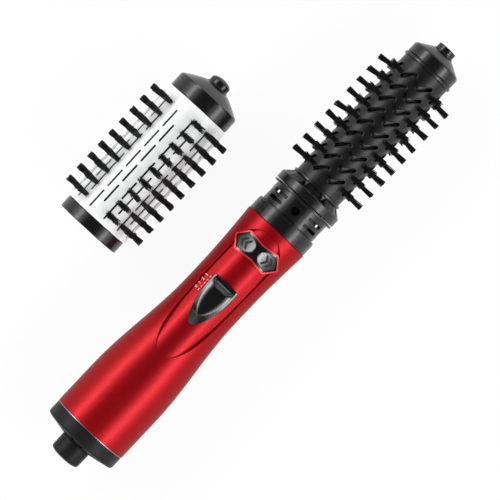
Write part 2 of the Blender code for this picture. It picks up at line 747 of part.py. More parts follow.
def make_rear_cap(axis, black):
    spigot = flat_inside(SHELL_REAR)
    bore = GLAND_STEM_RADIUS + RUN_GAP
    seat = GLAND_RADIUS + GAP
    rear = CAP_REAR + SEAM
    front = SHELL_REAR - SEAM
    end = SHELL_REAR + CAP_SPIGOT_LENGTH
    profile = [(bore, rear), (seat, rear), (CAP_RADIUS, BAND_REAR), (CAP_RADIUS, front), (spigot, front),
               (spigot, end), (spigot - CAP_WALL, end), (spigot - CAP_WALL, BAND_REAR + CAP_WALL),
               (seat, rear + CAP_WALL), (bore, rear + CAP_WALL)]
    cap = place("rear_cap", turned(profile, RING_SIDES), black, axis)
    slots = bmesh.new()
    for index in range(INTAKE_SLOTS):
        turn = about_axis(2 * math.pi * index / INTAKE_SLOTS + math.pi / RING_SIDES)
        brick((-INTAKE_SLOT_WIDTH / 2, INTAKE_SLOT_INNER, CAP_REAR - CAP_WALL),
              (INTAKE_SLOT_WIDTH / 2, INTAKE_SLOT_OUTER, BAND_REAR + 2 * CAP_WALL), slots, turn)
    shape(cap, slots, "DIFFERENCE")


def make_gland(axis, black, steel):
    front = CAP_REAR - SEAM
    stem_end = CAP_REAR + CAP_WALL + GLAND_CLIP_THICKNESS + 3 * GAP
    dome = [(GLAND_RADIUS * math.sin(turn), GLAND_DOME * (1 - math.cos(turn)))
            for turn in spaced(math.asin(CORD_BORE_RADIUS / GLAND_RADIUS), math.pi / 2, DOME_STEPS)]
    profile = dome + [(GLAND_RADIUS, front), (GLAND_STEM_RADIUS, front), (GLAND_STEM_RADIUS, stem_end),
                      (CORD_BORE_RADIUS, stem_end)]
    place("cord_gland", turned(profile, INNER_SIDES), black, axis)
    inner = GLAND_STEM_RADIUS + GAP
    clip_rear = CAP_REAR + CAP_WALL + 2 * GAP
    clip = pipe(inner + GLAND_CLIP_WIDTH, inner, clip_rear, clip_rear + GLAND_CLIP_THICKNESS, INNER_SIDES)
    place("gland_clip", clip, steel, axis)


def wheel(name, material, axis, rim_outer, rim_inner, boss, bore, rear, front):
    """Ring joined to a bored boss by spokes."""
    piece = place(name, pipe(rim_outer, rim_inner, rear, front, INNER_SIDES), material, axis)
    spokes = bmesh.new()
    for index in range(SPOKES):
        turn = about_axis(2 * math.pi * (index + 0.5) / SPOKES)
        brick((-SPOKE_WIDTH / 2, (boss + bore) / 2, rear),
              (SPOKE_WIDTH / 2, (rim_outer + rim_inner) / 2, front), spokes, turn)
    shape(piece, spokes, "UNION")
    shape(piece, pipe(boss, bore, rear, front, INNER_SIDES), "UNION")
    return piece


def make_fan(axis, black, steel, grey):
    seat = SHELL_REAR + CAP_SPIGOT_LENGTH
    screen_rear = seat + GAP
    screen_front = screen_rear + SCREEN_THICKNESS
    screen_radius = flat_inside(screen_rear)
    hub_rear = screen_front + FAN_STANDOFF
    hub_front = hub_rear + FAN_HUB_LENGTH
    motor_rear = hub_front + FAN_STANDOFF
    motor_front = motor_rear + FAN_MOTOR_LENGTH
    screen = prism(circle(screen_radius, INNER_SIDES), screen_rear, screen_front)
    screen = place("intake_screen", screen, steel, axis)
    windows = bmesh.new()
    for index in range(SCREEN_WINDOWS):
        turn = about_axis(2 * math.pi * index / SCREEN_WINDOWS)
        brick((-SCREEN_WINDOW_WIDTH / 2, screen_radius / 3, seat),
              (SCREEN_WINDOW_WIDTH / 2, screen_radius - CAP_WALL, screen_front + GAP), windows, turn)
    shape(screen, windows, "DIFFERENCE")

    impeller = pipe(FAN_HUB_RADIUS, FAN_SHAFT_RADIUS + GAP, hub_rear, hub_front, SMALL_SIDES)
    impeller = place("fan_impeller", impeller, black, axis)
    tip = flat_inside(hub_rear) - FAN_TIP_CLEARANCE
    middle = (hub_rear + hub_front) / 2
    blades = bmesh.new()
    for index in range(FAN_BLADES):
        turn = about_axis(2 * math.pi * index / FAN_BLADES)
        loops = []
        for radius, pitch in ((FAN_BLADE_ROOT, FAN_BLADE_PITCH), (tip, FAN_TIP_PITCH)):
            lean = Matrix.Rotation(pitch, 4, "Y")
            loop = []
            for across, along in ((-1, -1), (1, -1), (1, 1), (-1, 1)):
                corner = lean @ Vector((across * FAN_BLADE_THICKNESS / 2, 0, along * FAN_BLADE_CHORD / 2))
                loop.append(turn @ (corner + Vector((0, radius, middle))))
            loops.append(loop)
        loft(loops, blades)
    shape(impeller, blades, "UNION")

    shaft_rear = hub_rear - FAN_STANDOFF / 2
    profile = [(0, shaft_rear), (FAN_SHAFT_RADIUS, shaft_rear), (FAN_SHAFT_RADIUS, motor_rear),
               (FAN_MOTOR_RADIUS, motor_rear), (FAN_MOTOR_RADIUS, motor_front), (0, motor_front)]
    place("fan_motor", turned(profile, INNER_SIDES), grey, axis)
    rear = motor_rear + BRACKET_OFFSET
    front = rear + BRACKET_LENGTH
    bore = FAN_MOTOR_RADIUS + GAP
    rim = flat_inside(front)
    wheel("motor_bracket", black, axis, rim, rim - BRACKET_WALL, bore + BRACKET_WALL, bore, rear, front)


def gear_outline(teeth, phase):
    """Outline of a straight-flanked spur gear with a tooth at the phase angle."""
    pitch_radius = GEAR_MODULE * teeth / 2
    tip = pitch_radius + ADDENDUM * GEAR_MODULE
    root = pitch_radius - DEDENDUM * GEAR_MODULE
    step = 2 * math.pi / teeth
    outline = []
    for tooth in range(teeth):
        middle = phase + tooth * step
        for radius, share in ((root, -TOOTH_ROOT_SHARE), (tip, -TOOTH_TIP_SHARE), (tip, TOOTH_TIP_SHARE),
                              (root, TOOTH_ROOT_SHARE)):
            angle = middle + share * step
            outline.append((radius * math.cos(angle), radius * math.sin(angle)))
    return outline


def make_drive(axis, black, steel, brass, grey):
    plate_rear = CONTROLS_REAR + GEAR_PLATE_REAR
    plate_radius = flat_inside(GEAR_PLATE_FRONT)
    plate = prism(circle(plate_radius, INNER_SIDES), plate_rear, GEAR_PLATE_FRONT)
    plate = place("gear_plate", plate, black, axis)
    holes = prism(circle(BUSH_RADIUS + GAP, SMALL_SIDES), plate_rear - GAP, GEAR_PLATE_FRONT + GAP)
    motor_hole = circle(GEAR_MOTOR_SHAFT_RADIUS + GAP, SMALL_SIDES, (0, -GEAR_CENTRES))
    prism(motor_hole, plate_rear - GAP, GEAR_PLATE_FRONT + GAP, holes)
    for turn in GEAR_PLATE_WINDOWS_AT:
        sector(BUSH_FLANGE_RADIUS + 2 * GAP, plate_radius - SHELL_WALL, plate_rear - GAP,
               GEAR_PLATE_FRONT + GAP, turn - GEAR_PLATE_WINDOW_HALF, turn + GEAR_PLATE_WINDOW_HALF, SLOT_STEPS,
               holes)
    shape(plate, holes, "DIFFERENCE")

    motor_front = plate_rear - GAP
    motor_rear = motor_front - GEAR_MOTOR_LENGTH
    profile = [(0, motor_rear), (GEAR_MOTOR_RADIUS, motor_rear), (GEAR_MOTOR_RADIUS, motor_front),
               (GEAR_MOTOR_SHAFT_RADIUS, motor_front), (GEAR_MOTOR_SHAFT_RADIUS, GEAR_FRONT), (0, GEAR_FRONT)]
    motor = place("gear_motor", turned(profile, SMALL_SIDES), grey, axis)
    motor.location = (0, -GEAR_CENTRES, 0)

    pinion_gap = math.pi / 2 + math.pi / PINION_TEETH
    pinion = prism(gear_outline(PINION_TEETH, pinion_gap), GEAR_REAR, GEAR_FRONT)
    pinion = place("motor_pinion", pinion, brass, axis)
    pinion.location = (0, -GEAR_CENTRES, 0)
    pinion_bore = circle(GEAR_MOTOR_SHAFT_RADIUS + GAP, SMALL_SIDES)
    shape(pinion, prism(pinion_bore, GEAR_REAR - GAP, GEAR_FRONT + GAP), "DIFFERENCE")
    gear = prism(gear_outline(GEAR_TEETH, -math.pi / 2), GEAR_REAR, GEAR_FRONT)
    gear = place("drive_gear", gear, black, axis)
    gear_bore = circle(SHAFT_RADIUS + GAP, SMALL_SIDES)
    shape(gear, prism(gear_bore, GEAR_REAR - GAP, GEAR_FRONT + GAP), "DIFFERENCE")

    bush_bore = SHAFT_RADIUS / math.cos(math.pi / SMALL_SIDES) + BUSH_CLEARANCE
    flange_rear = GEAR_PLATE_FRONT + GAP
    flange_front = flange_rear + BUSH_FLANGE_THICKNESS
    profile = [(bush_bore, plate_rear), (BUSH_RADIUS, plate_rear), (BUSH_RADIUS, flange_rear),
               (BUSH_FLANGE_RADIUS, flange_rear), (BUSH_FLANGE_RADIUS, flange_front),
               (bush_bore, flange_front)]
    place("rear_bush", turned(profile, SMALL_SIDES), brass, axis)

    screw_hole = HUB_SCREW_SHANK_RADIUS + GAP
    hole_end = HUB_FRONT - HUB_SCREW_SHANK_LENGTH - GAP
    profile = [(0, plate_rear - GAP), (SHAFT_RADIUS, plate_rear - GAP), (SHAFT_RADIUS, HUB_FRONT),
               (screw_hole, HUB_FRONT), (screw_hole, hole_end), (0, hole_end)]
    place("drive_shaft", turned(profile, SMALL_SIDES), steel, axis)

    spider_front = FLANGE_FRONT - SPIDER_SETBACK
    spider_rear = spider_front - SPIDER_LENGTH
    rim = (SLEEVE_MOUTH_RADIUS - SLEEVE_WALL) * math.cos(math.pi / INNER_SIDES) - GAP
    boss_bore = BUSH_RADIUS + GAP
    wheel("bearing_spider", black, axis, rim, rim - SPIDER_WALL, boss_bore + SPIDER_WALL, boss_bore,
          spider_rear, spider_front)
    place("front_bush", pipe(BUSH_RADIUS, bush_bore, spider_rear, spider_front, SMALL_SIDES), brass, axis)

    hub = wheel("drive_hub", black, axis, HUB_RADIUS, HUB_RADIUS - HUB_WALL, HUB_BOSS_RADIUS,
                SHAFT_RADIUS + GAP, HUB_REAR, HUB_FRONT)
    dogs = bmesh.new()
    for index in range(DOGS):
        turn = about_axis(2 * math.pi * index / DOGS)
        brick((-DOG_WIDTH / 2, HUB_RADIUS - HUB_WALL / 2, HUB_REAR),
              (DOG_WIDTH / 2, HUB_RADIUS + DOG_HEIGHT, HUB_FRONT), dogs, turn)
    shape(hub, dogs, "UNION")
    head = HUB_FRONT + GAP
    profile = [(0, head - HUB_SCREW_SHANK_LENGTH), (HUB_SCREW_SHANK_RADIUS, head - HUB_SCREW_SHANK_LENGTH),
               (HUB_SCREW_SHANK_RADIUS, head), (HUB_SCREW_HEAD_RADIUS, head),
               (HUB_SCREW_HEAD_RADIUS, head + HUB_SCREW_HEAD_LENGTH), (0, head + HUB_SCREW_HEAD_LENGTH)]
    place("hub_screw", turned(profile, SMALL_SIDES), steel, axis)


def make_mouth(axis, black):
    rear = SHELL_FRONT + SEAM
    front = RING_FRONT - SEAM
    spigot_end = SHELL_FRONT - FRONT_SPIGOT_LENGTH
    spigot = flat_inside(spigot_end)
    inner = (SLEEVE_MOUTH_RADIUS + GAP) / math.cos(math.pi / RING_SIDES)
    collar_spigot = inner + COLLAR_SPIGOT_WALL
    bore = collar_spigot + GAP
    profile = [(bore, spigot_end), (spigot, spigot_end), (spigot, rear), (FRONT_RING_RADIUS, rear),
               (FRONT_RING_RADIUS, front), (bore, front)]
    place("front_ring", turned(profile, RING_SIDES), black, axis)

    collar_rear = RING_FRONT + SEAM
    spigot_rear = RING_FRONT - COLLAR_SPIGOT_LENGTH
    chamber = COLLAR_RADIUS - COLLAR_WALL
    profile = [(inner, spigot_rear), (collar_spigot, spigot_rear), (collar_spigot, collar_rear),
               (COLLAR_RADIUS, collar_rear), (COLLAR_RADIUS, COLLAR_FRONT),
               (COLLAR_FLANGE_RADIUS, COLLAR_FRONT), (COLLAR_FLANGE_RADIUS, FLANGE_FRONT),
               (chamber, FLANGE_FRONT), (chamber, collar_rear + COLLAR_WEB),
               (inner, collar_rear + COLLAR_WEB)]
    collar = place("collar", turned(profile, RING_SIDES), black, axis)
    cuts = bmesh.new()
    for index in range(COLLAR_HOLES):
        quarter = 2 * math.pi * index / COLLAR_HOLES
        hole = circle(COLLAR_HOLE_RADIUS, SMALL_SIDES, (0, RING_FRONT + COLLAR_HOLE_AT))
        upright(hole, chamber - COLLAR_WALL, COLLAR_RADIUS + COLLAR_WALL, cuts, about_axis(quarter))
        for along in COLLAR_SLOTS_AT:
            middle = RING_FRONT + along
            sector(chamber - COLLAR_WALL, COLLAR_RADIUS + COLLAR_WALL, middle - COLLAR_SLOT_WIDTH / 2,
                   middle + COLLAR_SLOT_WIDTH / 2, quarter + COLLAR_SLOT_START, quarter + COLLAR_SLOT_END,
                   SLOT_STEPS, cuts)
    shape(collar, cuts, "DIFFERENCE")


def make_heater(axis, steel, mica, brass):
    rear = CONTROLS_REAR + SLEEVE_REAR
    flare = SHELL_FRONT - SLEEVE_FLARE_SETBACK
    mouth = flare + SLEEVE_FLARE_LENGTH
    outside = [(SLEEVE_RADIUS, rear), (SLEEVE_RADIUS, flare), (SLEEVE_MOUTH_RADIUS, mouth),
               (SLEEVE_MOUTH_RADIUS, FLANGE_FRONT)]
    inside = [(radius - SLEEVE_WALL, z) for radius, z in reversed(outside)]
    place("heater_sleeve", turned(outside + inside, INNER_SIDES), steel, axis)

    core_rear = rear + HEATER_SETBACK
    core_front = core_rear + HEATER_LENGTH
    ear = (SLEEVE_RADIUS - SLEEVE_WALL) * math.cos(math.pi / INNER_SIDES) - GAP
    coil_radius = ear - COIL_CLEARANCE - COIL_WIRE_RADIUS
    fin = coil_radius - COIL_WIRE_RADIUS - GAP
    core_bore = SHAFT_RADIUS + COIL_CLEARANCE
    frame = pipe(HEATER_CORE_RADIUS, core_bore, core_rear, core_front, SMALL_SIDES)
    frame = place("heater_frame", frame, mica, axis)
    fins = bmesh.new()
    fin_root = (core_bore + HEATER_CORE_RADIUS) / 2
    ear_front = core_rear + HEATER_EAR_LENGTH
    ear_rear = core_front - HEATER_EAR_LENGTH
    outline = [(fin_root, core_rear), (ear, core_rear), (ear, ear_front), (fin, ear_front), (fin, ear_rear),
               (ear, ear_rear), (ear, core_front), (fin_root, core_front)]
    for index in range(HEATER_FINS):
        turn = about_axis(2 * math.pi * index / HEATER_FINS)
        upright(outline, -HEATER_FIN_THICKNESS / 2, HEATER_FIN_THICKNESS / 2, fins, turn)
    shape(frame, fins, "UNION")

    make_coil(axis, steel, coil_radius, core_rear + COIL_END_MARGIN, core_front - COIL_END_MARGIN)
    thermostat = place("thermostat", rod(THERMOSTAT_RADIUS, 0, THERMOSTAT_LENGTH, SMALL_SIDES), brass, axis)
    beside_fin = HEATER_FIN_THICKNESS / 2 + GAP + THERMOSTAT_RADIUS
    thermostat.location = (beside_fin, THERMOSTAT_HEIGHT, ear_front)


def make_coil(axis, steel, radius, rear, front):
    """Heating wire wound round the frame's four fins."""
    count = COIL_TURNS * COIL_POINTS_PER_TURN
    points = []
    for index in range(count + 1):
        turn = 2 * math.pi * index / COIL_POINTS_PER_TURN
        z = rear + (front - rear) * index / count
        points.append(Vector((radius * math.cos(turn), radius * math.sin(turn), z)))
    curve = bpy.data.curves.new("heater_coil", "CURVE")
    curve.dimensions = "3D"
    curve.bevel_depth = COIL_WIRE_RADIUS
    curve.bevel_resolution = 0
    curve.use_fill_caps = True
    spline = curve.splines.new("POLY")
    spline.points.add(count)
    for point, place_on_wire in zip(spline.points, points):
        point.co = (*place_on_wire, 1)
    curve.materials.append(steel)
    place_mesh("heater_coil", curve, axis)
    half_turn = COIL_POINTS_PER_TURN // 2
    least = min((points[near] - points[far]).length for near in range(count)
                for far in range(near + half_turn, count + 1))
    print(f"heater_coil least gap to itself {(least - 2 * COIL_WIRE_RADIUS) * 1000:.2f} mm")


# Controls


def board_posts():
    """Middle of each post that the control board hangs from, as (x, z)."""
    rear = CONTROLS_REAR + BOARD_REAR + BOARD_POST_INSET
    front = CONTROLS_REAR + BOARD_REAR + BOARD_LENGTH - BOARD_POST_INSET
    x = BOARD_HALF_WIDTH - BOARD_POST_INSET
    return [(side * x, z) for z in (rear, front) for side in (1, -1)]


def make_board(axis, green, grey):
    rear = CONTROLS_REAR + BOARD_REAR
    board = brick((-BOARD_HALF_WIDTH, BOARD_HEIGHT, rear), (BOARD_HALF_WIDTH, BOARD_TOP, rear + BOARD_LENGTH))
    place("control_board", board, green, axis)
    low = BOARD_TOP + GAP
    switch_rear = CONTROLS_REAR + SLIDER_APEX + STEM_AT - (SLIDE_SWITCH_LENGTH - STEM_LENGTH - SLIDER_TRAVEL) / 2
    switch = brick((-SLIDE_SWITCH_WIDTH / 2, low, switch_rear),
                   (SLIDE_SWITCH_WIDTH / 2, low + SLIDE_SWITCH_HEIGHT, switch_rear + SLIDE_SWITCH_LENGTH))
    place("slide_switch", switch, grey, axis)
    middle = CONTROLS_REAR + BUTTONS_AT
    for name, side in (("left_tact_switch", 1), ("right_tact_switch", -1)):
        x = side * TACT_AT
        tact = brick((x - TACT_SIZE / 2, low, middle - TACT_SIZE / 2),
                     (x + TACT_SIZE / 2, low + TACT_HEIGHT, middle + TACT_SIZE / 2))
        place(name, tact, grey, axis)


def make_slider(axis, gloss):
    apex = CONTROLS_REAR + SLIDER_APEX
    under = PANEL_FLOOR_RADIUS + GAP
    over = under + SLIDER_HEIGHT
    outline = shield(apex, SLIDER_LENGTH, SLIDER_HALF_WIDTH, SLIDER_SHOULDER, SLIDER_BOW)
    slider = place("switch_slider", upright(outline, BOARD_TOP, SPREAD_LIMIT), gloss, axis)
    plate = pipe(over, under, apex - GAP, apex + SLIDER_LENGTH + GAP, CONTROL_SIDES)
    bmesh.ops.translate(plate, verts=plate.verts, vec=(0, PANEL_FLOOR_CENTRE, 0))
    shape(slider, plate, "INTERSECT")
    stem_low = BOARD_TOP + 2 * GAP + SLIDE_SWITCH_HEIGHT
    stem_rear = apex + STEM_AT
    stem_high = PANEL_FLOOR_TOP + SLIDER_HEIGHT - DISH_DEPTH
    stem = brick((-STEM_WIDTH / 2, stem_low, stem_rear), (STEM_WIDTH / 2, stem_high, stem_rear + STEM_LENGTH))
    shape(slider, stem, "UNION")
    dish_length = SLIDER_LENGTH - DISH_APEX - DISH_FRONT_RIM
    dish = shield(apex + DISH_APEX, dish_length, DISH_HALF_WIDTH, SLIDER_SHOULDER - DISH_APEX, SLIDER_BOW)
    rim_top = PANEL_FLOOR_CENTRE + over
    hollow = bmesh.new()
    for x, z in dish:
        hollow.verts.new((x, rim_top, z))
        hollow.verts.new((x, SPREAD_LIMIT, z))
    for share in DISH_FLOOR_SHARES:
        hollow.verts.new((0, rim_top - DISH_DEPTH, apex + DISH_APEX + dish_length * share))
    bmesh.ops.convex_hull(hollow, input=hollow.verts)
    bmesh.ops.recalc_face_normals(hollow, faces=hollow.faces)
    shape(slider, hollow, "DIFFERENCE")


def make_buttons(axis, gloss, silver):
    outline = bezel_outline()
    rear = CONTROLS_REAR + BUTTONS_AT - BEZEL_HALF_LENGTH
    half = BEZEL_HALF_LENGTH + GAP
    body = place("button_bezel", upright(outline, 0, SPREAD_LIMIT), gloss, axis)
    shape(body, arc_plate(flat_inside(rear), BEZEL_RADIUS, half), "INTERSECT")
    low = BOARD_TOP + 2 * GAP + TACT_HEIGHT + BUTTON_TRAVEL
    cuts = bmesh.new()
    top = BEZEL_RADIUS + BUTTON_PROUD
    for name, side in (("left_button", 1), ("right_button", -1)):
        plan = button_outline(side)
        upright(grown(plan, GAP), 0, SPREAD_LIMIT, cuts)
        button = place(name, upright(plan, 0, SPREAD_LIMIT), silver, axis)
        shape(button, arc_plate(top - BUTTON_THICKNESS, top, half), "INTERSECT")
        x = side * TACT_AT
        middle = CONTROLS_REAR + BUTTONS_AT
        stem_top = math.sqrt((top - BUTTON_THICKNESS / 2) ** 2 - (TACT_AT + BUTTON_STEM) ** 2)
        stem = brick((x - BUTTON_STEM / 2, low, middle - BUTTON_STEM / 2),
                     (x + BUTTON_STEM / 2, stem_top, middle + BUTTON_STEM / 2))
        shape(button, stem, "UNION")
    shape(body, cuts, "DIFFERENCE")


# Brush heads


def plant(bm, matrix, height, strands):
    """Grow bristles out of a rib's flat top, each from a root loop on it to a flat tip."""
    outward = (matrix.to_3x3() @ Vector((0, 1, 0))).normalized()
    bm.normal_update()
    top = next(face for face in bm.faces if face.normal.dot(outward) > 0.999
               and abs(face.calc_center_median().dot(outward) - height) < GAP / 10)
    open_edges = list(top.edges)
    bm.faces.remove(top)
    for root_loop, tip_loop in strands:
        root = [bm.verts.new(matrix @ point) for point in root_loop]
        tip = [bm.verts.new(matrix @ point) for point in tip_loop]
        for index in range(len(root)):
            after = (index + 1) % len(root)
            bm.faces.new((root[index], root[after], tip[after], tip[index]))
            open_edges.append(bm.edges.get((root[index], root[after])))
        bm.faces.new(tip)
    bmesh.ops.triangle_fill(bm, use_beauty=True, edges=open_edges, normal=outward)
    bmesh.ops.recalc_face_normals(bm, faces=bm.faces)


def strand(root, tip, root_section, tip_section):
    """Root loop and tip loop of one bristle."""
    ends = ((root, root_section), (tip, tip_section))
    return [[end + Vector((x, 0, z)) for x, z in section] for end, section in ends]


def barrel_tube(outer, bore, rear, front, first_row, rows, row_facet):
    """Barrel with a narrow flat under each row and a wide flat on either side of it."""
    step = 2 * math.pi / rows
    within = (-step / 2, -row_facet, row_facet)
    angles = [first_row + row * step + angle for row in range(rows) for angle in within]
    bm = bmesh.new()
    rings = []
    for radius, z in ((bore, rear), (outer, rear), (outer, front), (bore, front)):
        rings.append([bm.verts.new(about_axis(angle) @ Vector((0, radius, z))) for angle in angles])
    for near, far in zip(rings, rings[1:] + rings[:1]):
        for index, after in zip(range(len(angles)), [*range(1, len(angles)), 0]):
            bm.faces.new((near[index], near[after], far[after], far[index]))
    bmesh.ops.recalc_face_normals(bm, faces=bm.faces)
    return bm


def socket_cutter(rear):
    """Keyways for the drive hub's dogs."""
    cuts = bmesh.new()
    half = DOG_WIDTH / 2 + GAP
    for index in range(DOGS):
        turn = about_axis(2 * math.pi * index / DOGS)
        brick((-half, HUB_RADIUS - HUB_WALL, rear - GAP),
              (half, KEYWAY_RADIUS, rear + HUB_LENGTH + GAP), cuts, turn)
    return cuts


def make_strips(axis, bristle):
    """Bristle strips of the fitted head, each with a rib that fills its slot in the barrel."""
    bore = HEAD_BARREL_RADIUS - BARREL_WALL
    seat = bore * math.cos(HEAD_ROW_FACET) - GAP
    half = bore * math.sin(HEAD_ROW_FACET)
    rib_top = HEAD_BARREL_RADIUS * math.cos(HEAD_ROW_FACET)
    rear = BARREL_REAR + RIB_MARGIN
    front = BARREL_FRONT - RIB_MARGIN
    section = [(-half, seat - STRIP_HEIGHT), (half, seat - STRIP_HEIGHT), (half, seat), (RIB_WIDTH / 2, seat),
               (RIB_WIDTH / 2, rib_top), (-RIB_WIDTH / 2, rib_top), (-RIB_WIDTH / 2, seat), (-half, seat)]
    sections = [circle(radius, STRAND_SIDES) for radius in (HEAD_STRAND_ROOT_RADIUS, HEAD_STRAND_TIP_RADIUS)]
    strands = []
    for tuft in range(TUFTS_PER_ROW):
        z = BARREL_REAR + HEAD_FIRST_TUFT + tuft * HEAD_TUFT_PITCH
        twist = (HEAD_TUFT_TWIST + (tuft - TUFTS_PER_ROW / 2) * HEAD_TUFT_TURN) * (-1) ** tuft
        for index in range(HEAD_STRANDS_PER_TUFT):
            turn = 2 * math.pi * index / HEAD_STRANDS_PER_TUFT + twist
            out = Vector((math.cos(turn), 0, math.sin(turn)))
            root = Vector((0, rib_top, z)) + out * HEAD_TUFT_ROOT
            tip = Vector((0, HEAD_TIP_RADIUS, z)) + out * HEAD_TUFT_SPREAD
            strands.append(strand(root, tip, *sections))
    strip = prism(section, rear, front)
    plant(strip, Matrix.Identity(4), rib_top, strands)
    first = place("bristle_strip_1", strip, bristle, axis)
    for row in range(1, HEAD_ROWS):
        piece = place_mesh(f"bristle_strip_{row + 1}", first.data, axis)
        piece.rotation_euler = (0, 0, row * HEAD_ROW_STEP)
    return seat - STRIP_HEIGHT - GAP


def make_tube(name, axis, metal, radius, rear, front, rows, first_row):
    """Metal tube inside a barrel, with air windows between the bristle rows."""
    tube = pipe(radius, radius - TUBE_WALL, rear, front, INNER_SIDES, math.pi / INNER_SIDES)
    tube = place(name, tube, metal, axis)
    step = 2 * math.pi / rows
    half = TUBE_WINDOW_WIDTH / 2
    windows = bmesh.new()
    for row in range(rows):
        turn = about_axis(first_row + (row + 0.5) * step)
        brick((-half, radius - 4 * TUBE_WALL, rear + TUBE_WINDOW_MARGIN),
              (half, radius + TUBE_WALL, front - TUBE_WINDOW_MARGIN), windows, turn)
    shape(tube, windows, "DIFFERENCE")


def make_end(cap_name, knob_name, axis, black, profile, knob_rear, knob_length, knob_radius, knob_edge):
    """Hollow end cap on a spigot, with a knob in its nose."""
    place(cap_name, turned(profile, RING_SIDES), black, axis)
    rear = knob_rear + SEAM
    front = knob_rear + knob_length
    stem = rear - KNOB_STEM_LENGTH
    waist = knob_radius - knob_edge
    knob = [(0, stem), (KNOB_STEM_RADIUS, stem), (KNOB_STEM_RADIUS, rear), (waist, rear),
            (knob_radius, rear + knob_edge), (knob_radius, front - knob_edge), (waist, front - knob_edge / 4),
            (0, front)]
    place(knob_name, turned(knob, INNER_SIDES), black, axis)


def make_fitted_head(axis, black, bristle, metal):
    tube_radius = make_strips(axis, bristle)
    barrel_bore = HEAD_BARREL_RADIUS - BARREL_WALL
    widest_facet = (HEAD_ROW_STEP / 2 - HEAD_ROW_FACET) / 2
    spigot = barrel_bore * math.cos(widest_facet) - GAP
    spigot_bore = tube_radius + GAP

    rear = HEAD_REAR + SEAM
    front = BARREL_REAR - SEAM
    socket_end = HEAD_REAR + SOCKET_DEPTH
    web_end = socket_end + SOCKET_WEB
    profile = [(SOCKET_RADIUS, rear), (HEAD_FLANGE_RADIUS, rear), (HEAD_FLANGE_RADIUS, HEAD_CONE_REAR),
               (HEAD_CONE_RADIUS, HEAD_LIP_REAR), (HEAD_LIP_RADIUS, HEAD_LIP_REAR), (HEAD_LIP_RADIUS, front),
               (spigot, front), (spigot, BARREL_REAR + HEAD_SPIGOT_LENGTH),
               (spigot_bore, BARREL_REAR + HEAD_SPIGOT_LENGTH), (spigot_bore, web_end),
               (PASSAGE_RADIUS, web_end), (PASSAGE_RADIUS, socket_end), (SOCKET_RADIUS, socket_end)]
    base = place("head_base", turned(profile, RING_SIDES), black, axis)
    cuts = socket_cutter(HEAD_REAR)
    for index in range(HEAD_VENTS):
        turn = about_axis(2 * math.pi * index / HEAD_VENTS + math.pi / RING_SIDES)
        brick((-HEAD_VENT_WIDTH / 2, KEYWAY_RADIUS + HEAD_VENT_WIDTH, HEAD_CONE_REAR - HEAD_CONE_LENGTH / 4),
              (HEAD_VENT_WIDTH / 2, HEAD_FLANGE_RADIUS - CAP_SHELL / 2, HEAD_LIP_REAR - GAP), cuts, turn)
    shape(base, cuts, "DIFFERENCE")

    barrel = barrel_tube(HEAD_BARREL_RADIUS, barrel_bore, SEAM, HEAD_BARREL_LENGTH - SEAM, 0.0, HEAD_ROWS,
                         HEAD_ROW_FACET)
    barrel = place("head_barrel", barrel, black, axis)
    barrel.location = (0, 0, BARREL_REAR)
    low = spigot
    high = HEAD_BARREL_RADIUS + BARREL_WALL
    rib_half = RIB_WIDTH / 2 + GAP
    cuts = bmesh.new()
    for row in range(HEAD_ROWS):
        turn = about_axis(row * HEAD_ROW_STEP)
        between = about_axis((row + 0.5) * HEAD_ROW_STEP)
        brick((-rib_half, low, RIB_MARGIN - GAP),
              (rib_half, high, HEAD_BARREL_LENGTH - RIB_MARGIN + GAP), cuts, turn)
        for tuft in range(TUFTS_PER_ROW):
            z = HEAD_FIRST_TUFT + tuft * HEAD_TUFT_PITCH + AIR_SLOT_LEAD
            lean = Matrix.Translation((0, 0, z)) @ Matrix.Rotation(-AIR_SLOT_TILT, 4, "Y")
            brick((-AIR_SLOT_WIDTH / 2, low, -AIR_SLOT_LENGTH / 2),
                  (AIR_SLOT_WIDTH / 2, high, AIR_SLOT_LENGTH / 2), cuts, between @ lean)
    shape(barrel, cuts, "DIFFERENCE")

    tube_start = max(BARREL_REAR + SEAM, web_end + GAP)
    make_tube("heat_tube", axis, metal, tube_radius, tube_start, BARREL_FRONT - SEAM, HEAD_ROWS // 2, 0.0)

    ring = pipe(END_RING_RADIUS, spigot + GAP, BARREL_FRONT + SEAM, END_BAND_REAR - SEAM, RING_SIDES)
    place("end_ring", ring, black, axis)
    cap_rear = END_BAND_REAR + SEAM
    spigot_end = BARREL_FRONT - HEAD_SPIGOT_LENGTH
    nose = KNOB_REAR - SEAM
    bore = KNOB_STEM_RADIUS + GAP
    profile = [(spigot_bore, spigot_end), (spigot, spigot_end), (spigot, cap_rear),
               (END_BAND_RADIUS, cap_rear), (END_BAND_RADIUS, END_CONE_REAR), (END_NECK_RADIUS, nose),
               (bore, nose), (bore, nose - CAP_SHELL), (END_NECK_RADIUS - CAP_SHELL, nose - CAP_SHELL),
               (spigot_bore, END_CONE_REAR)]
    make_end("end_cap", "tip_knob", axis, black, profile, KNOB_REAR, TIP_KNOB_LENGTH, TIP_KNOB_RADIUS,
             TIP_KNOB_EDGE)


def spare_rows():
    """Angles of the second head's tuft rows, in panels parted by bare strips."""
    per_panel = SPARE_POSITIONS // SPARE_PANELS
    starts = [SPARE_FIRST_ROW + panel * per_panel * SPARE_ROW_STEP for panel in range(SPARE_PANELS)]
    return [[start + row * SPARE_ROW_STEP for row in range(SPARE_ROWS_PER_PANEL)] for start in starts]


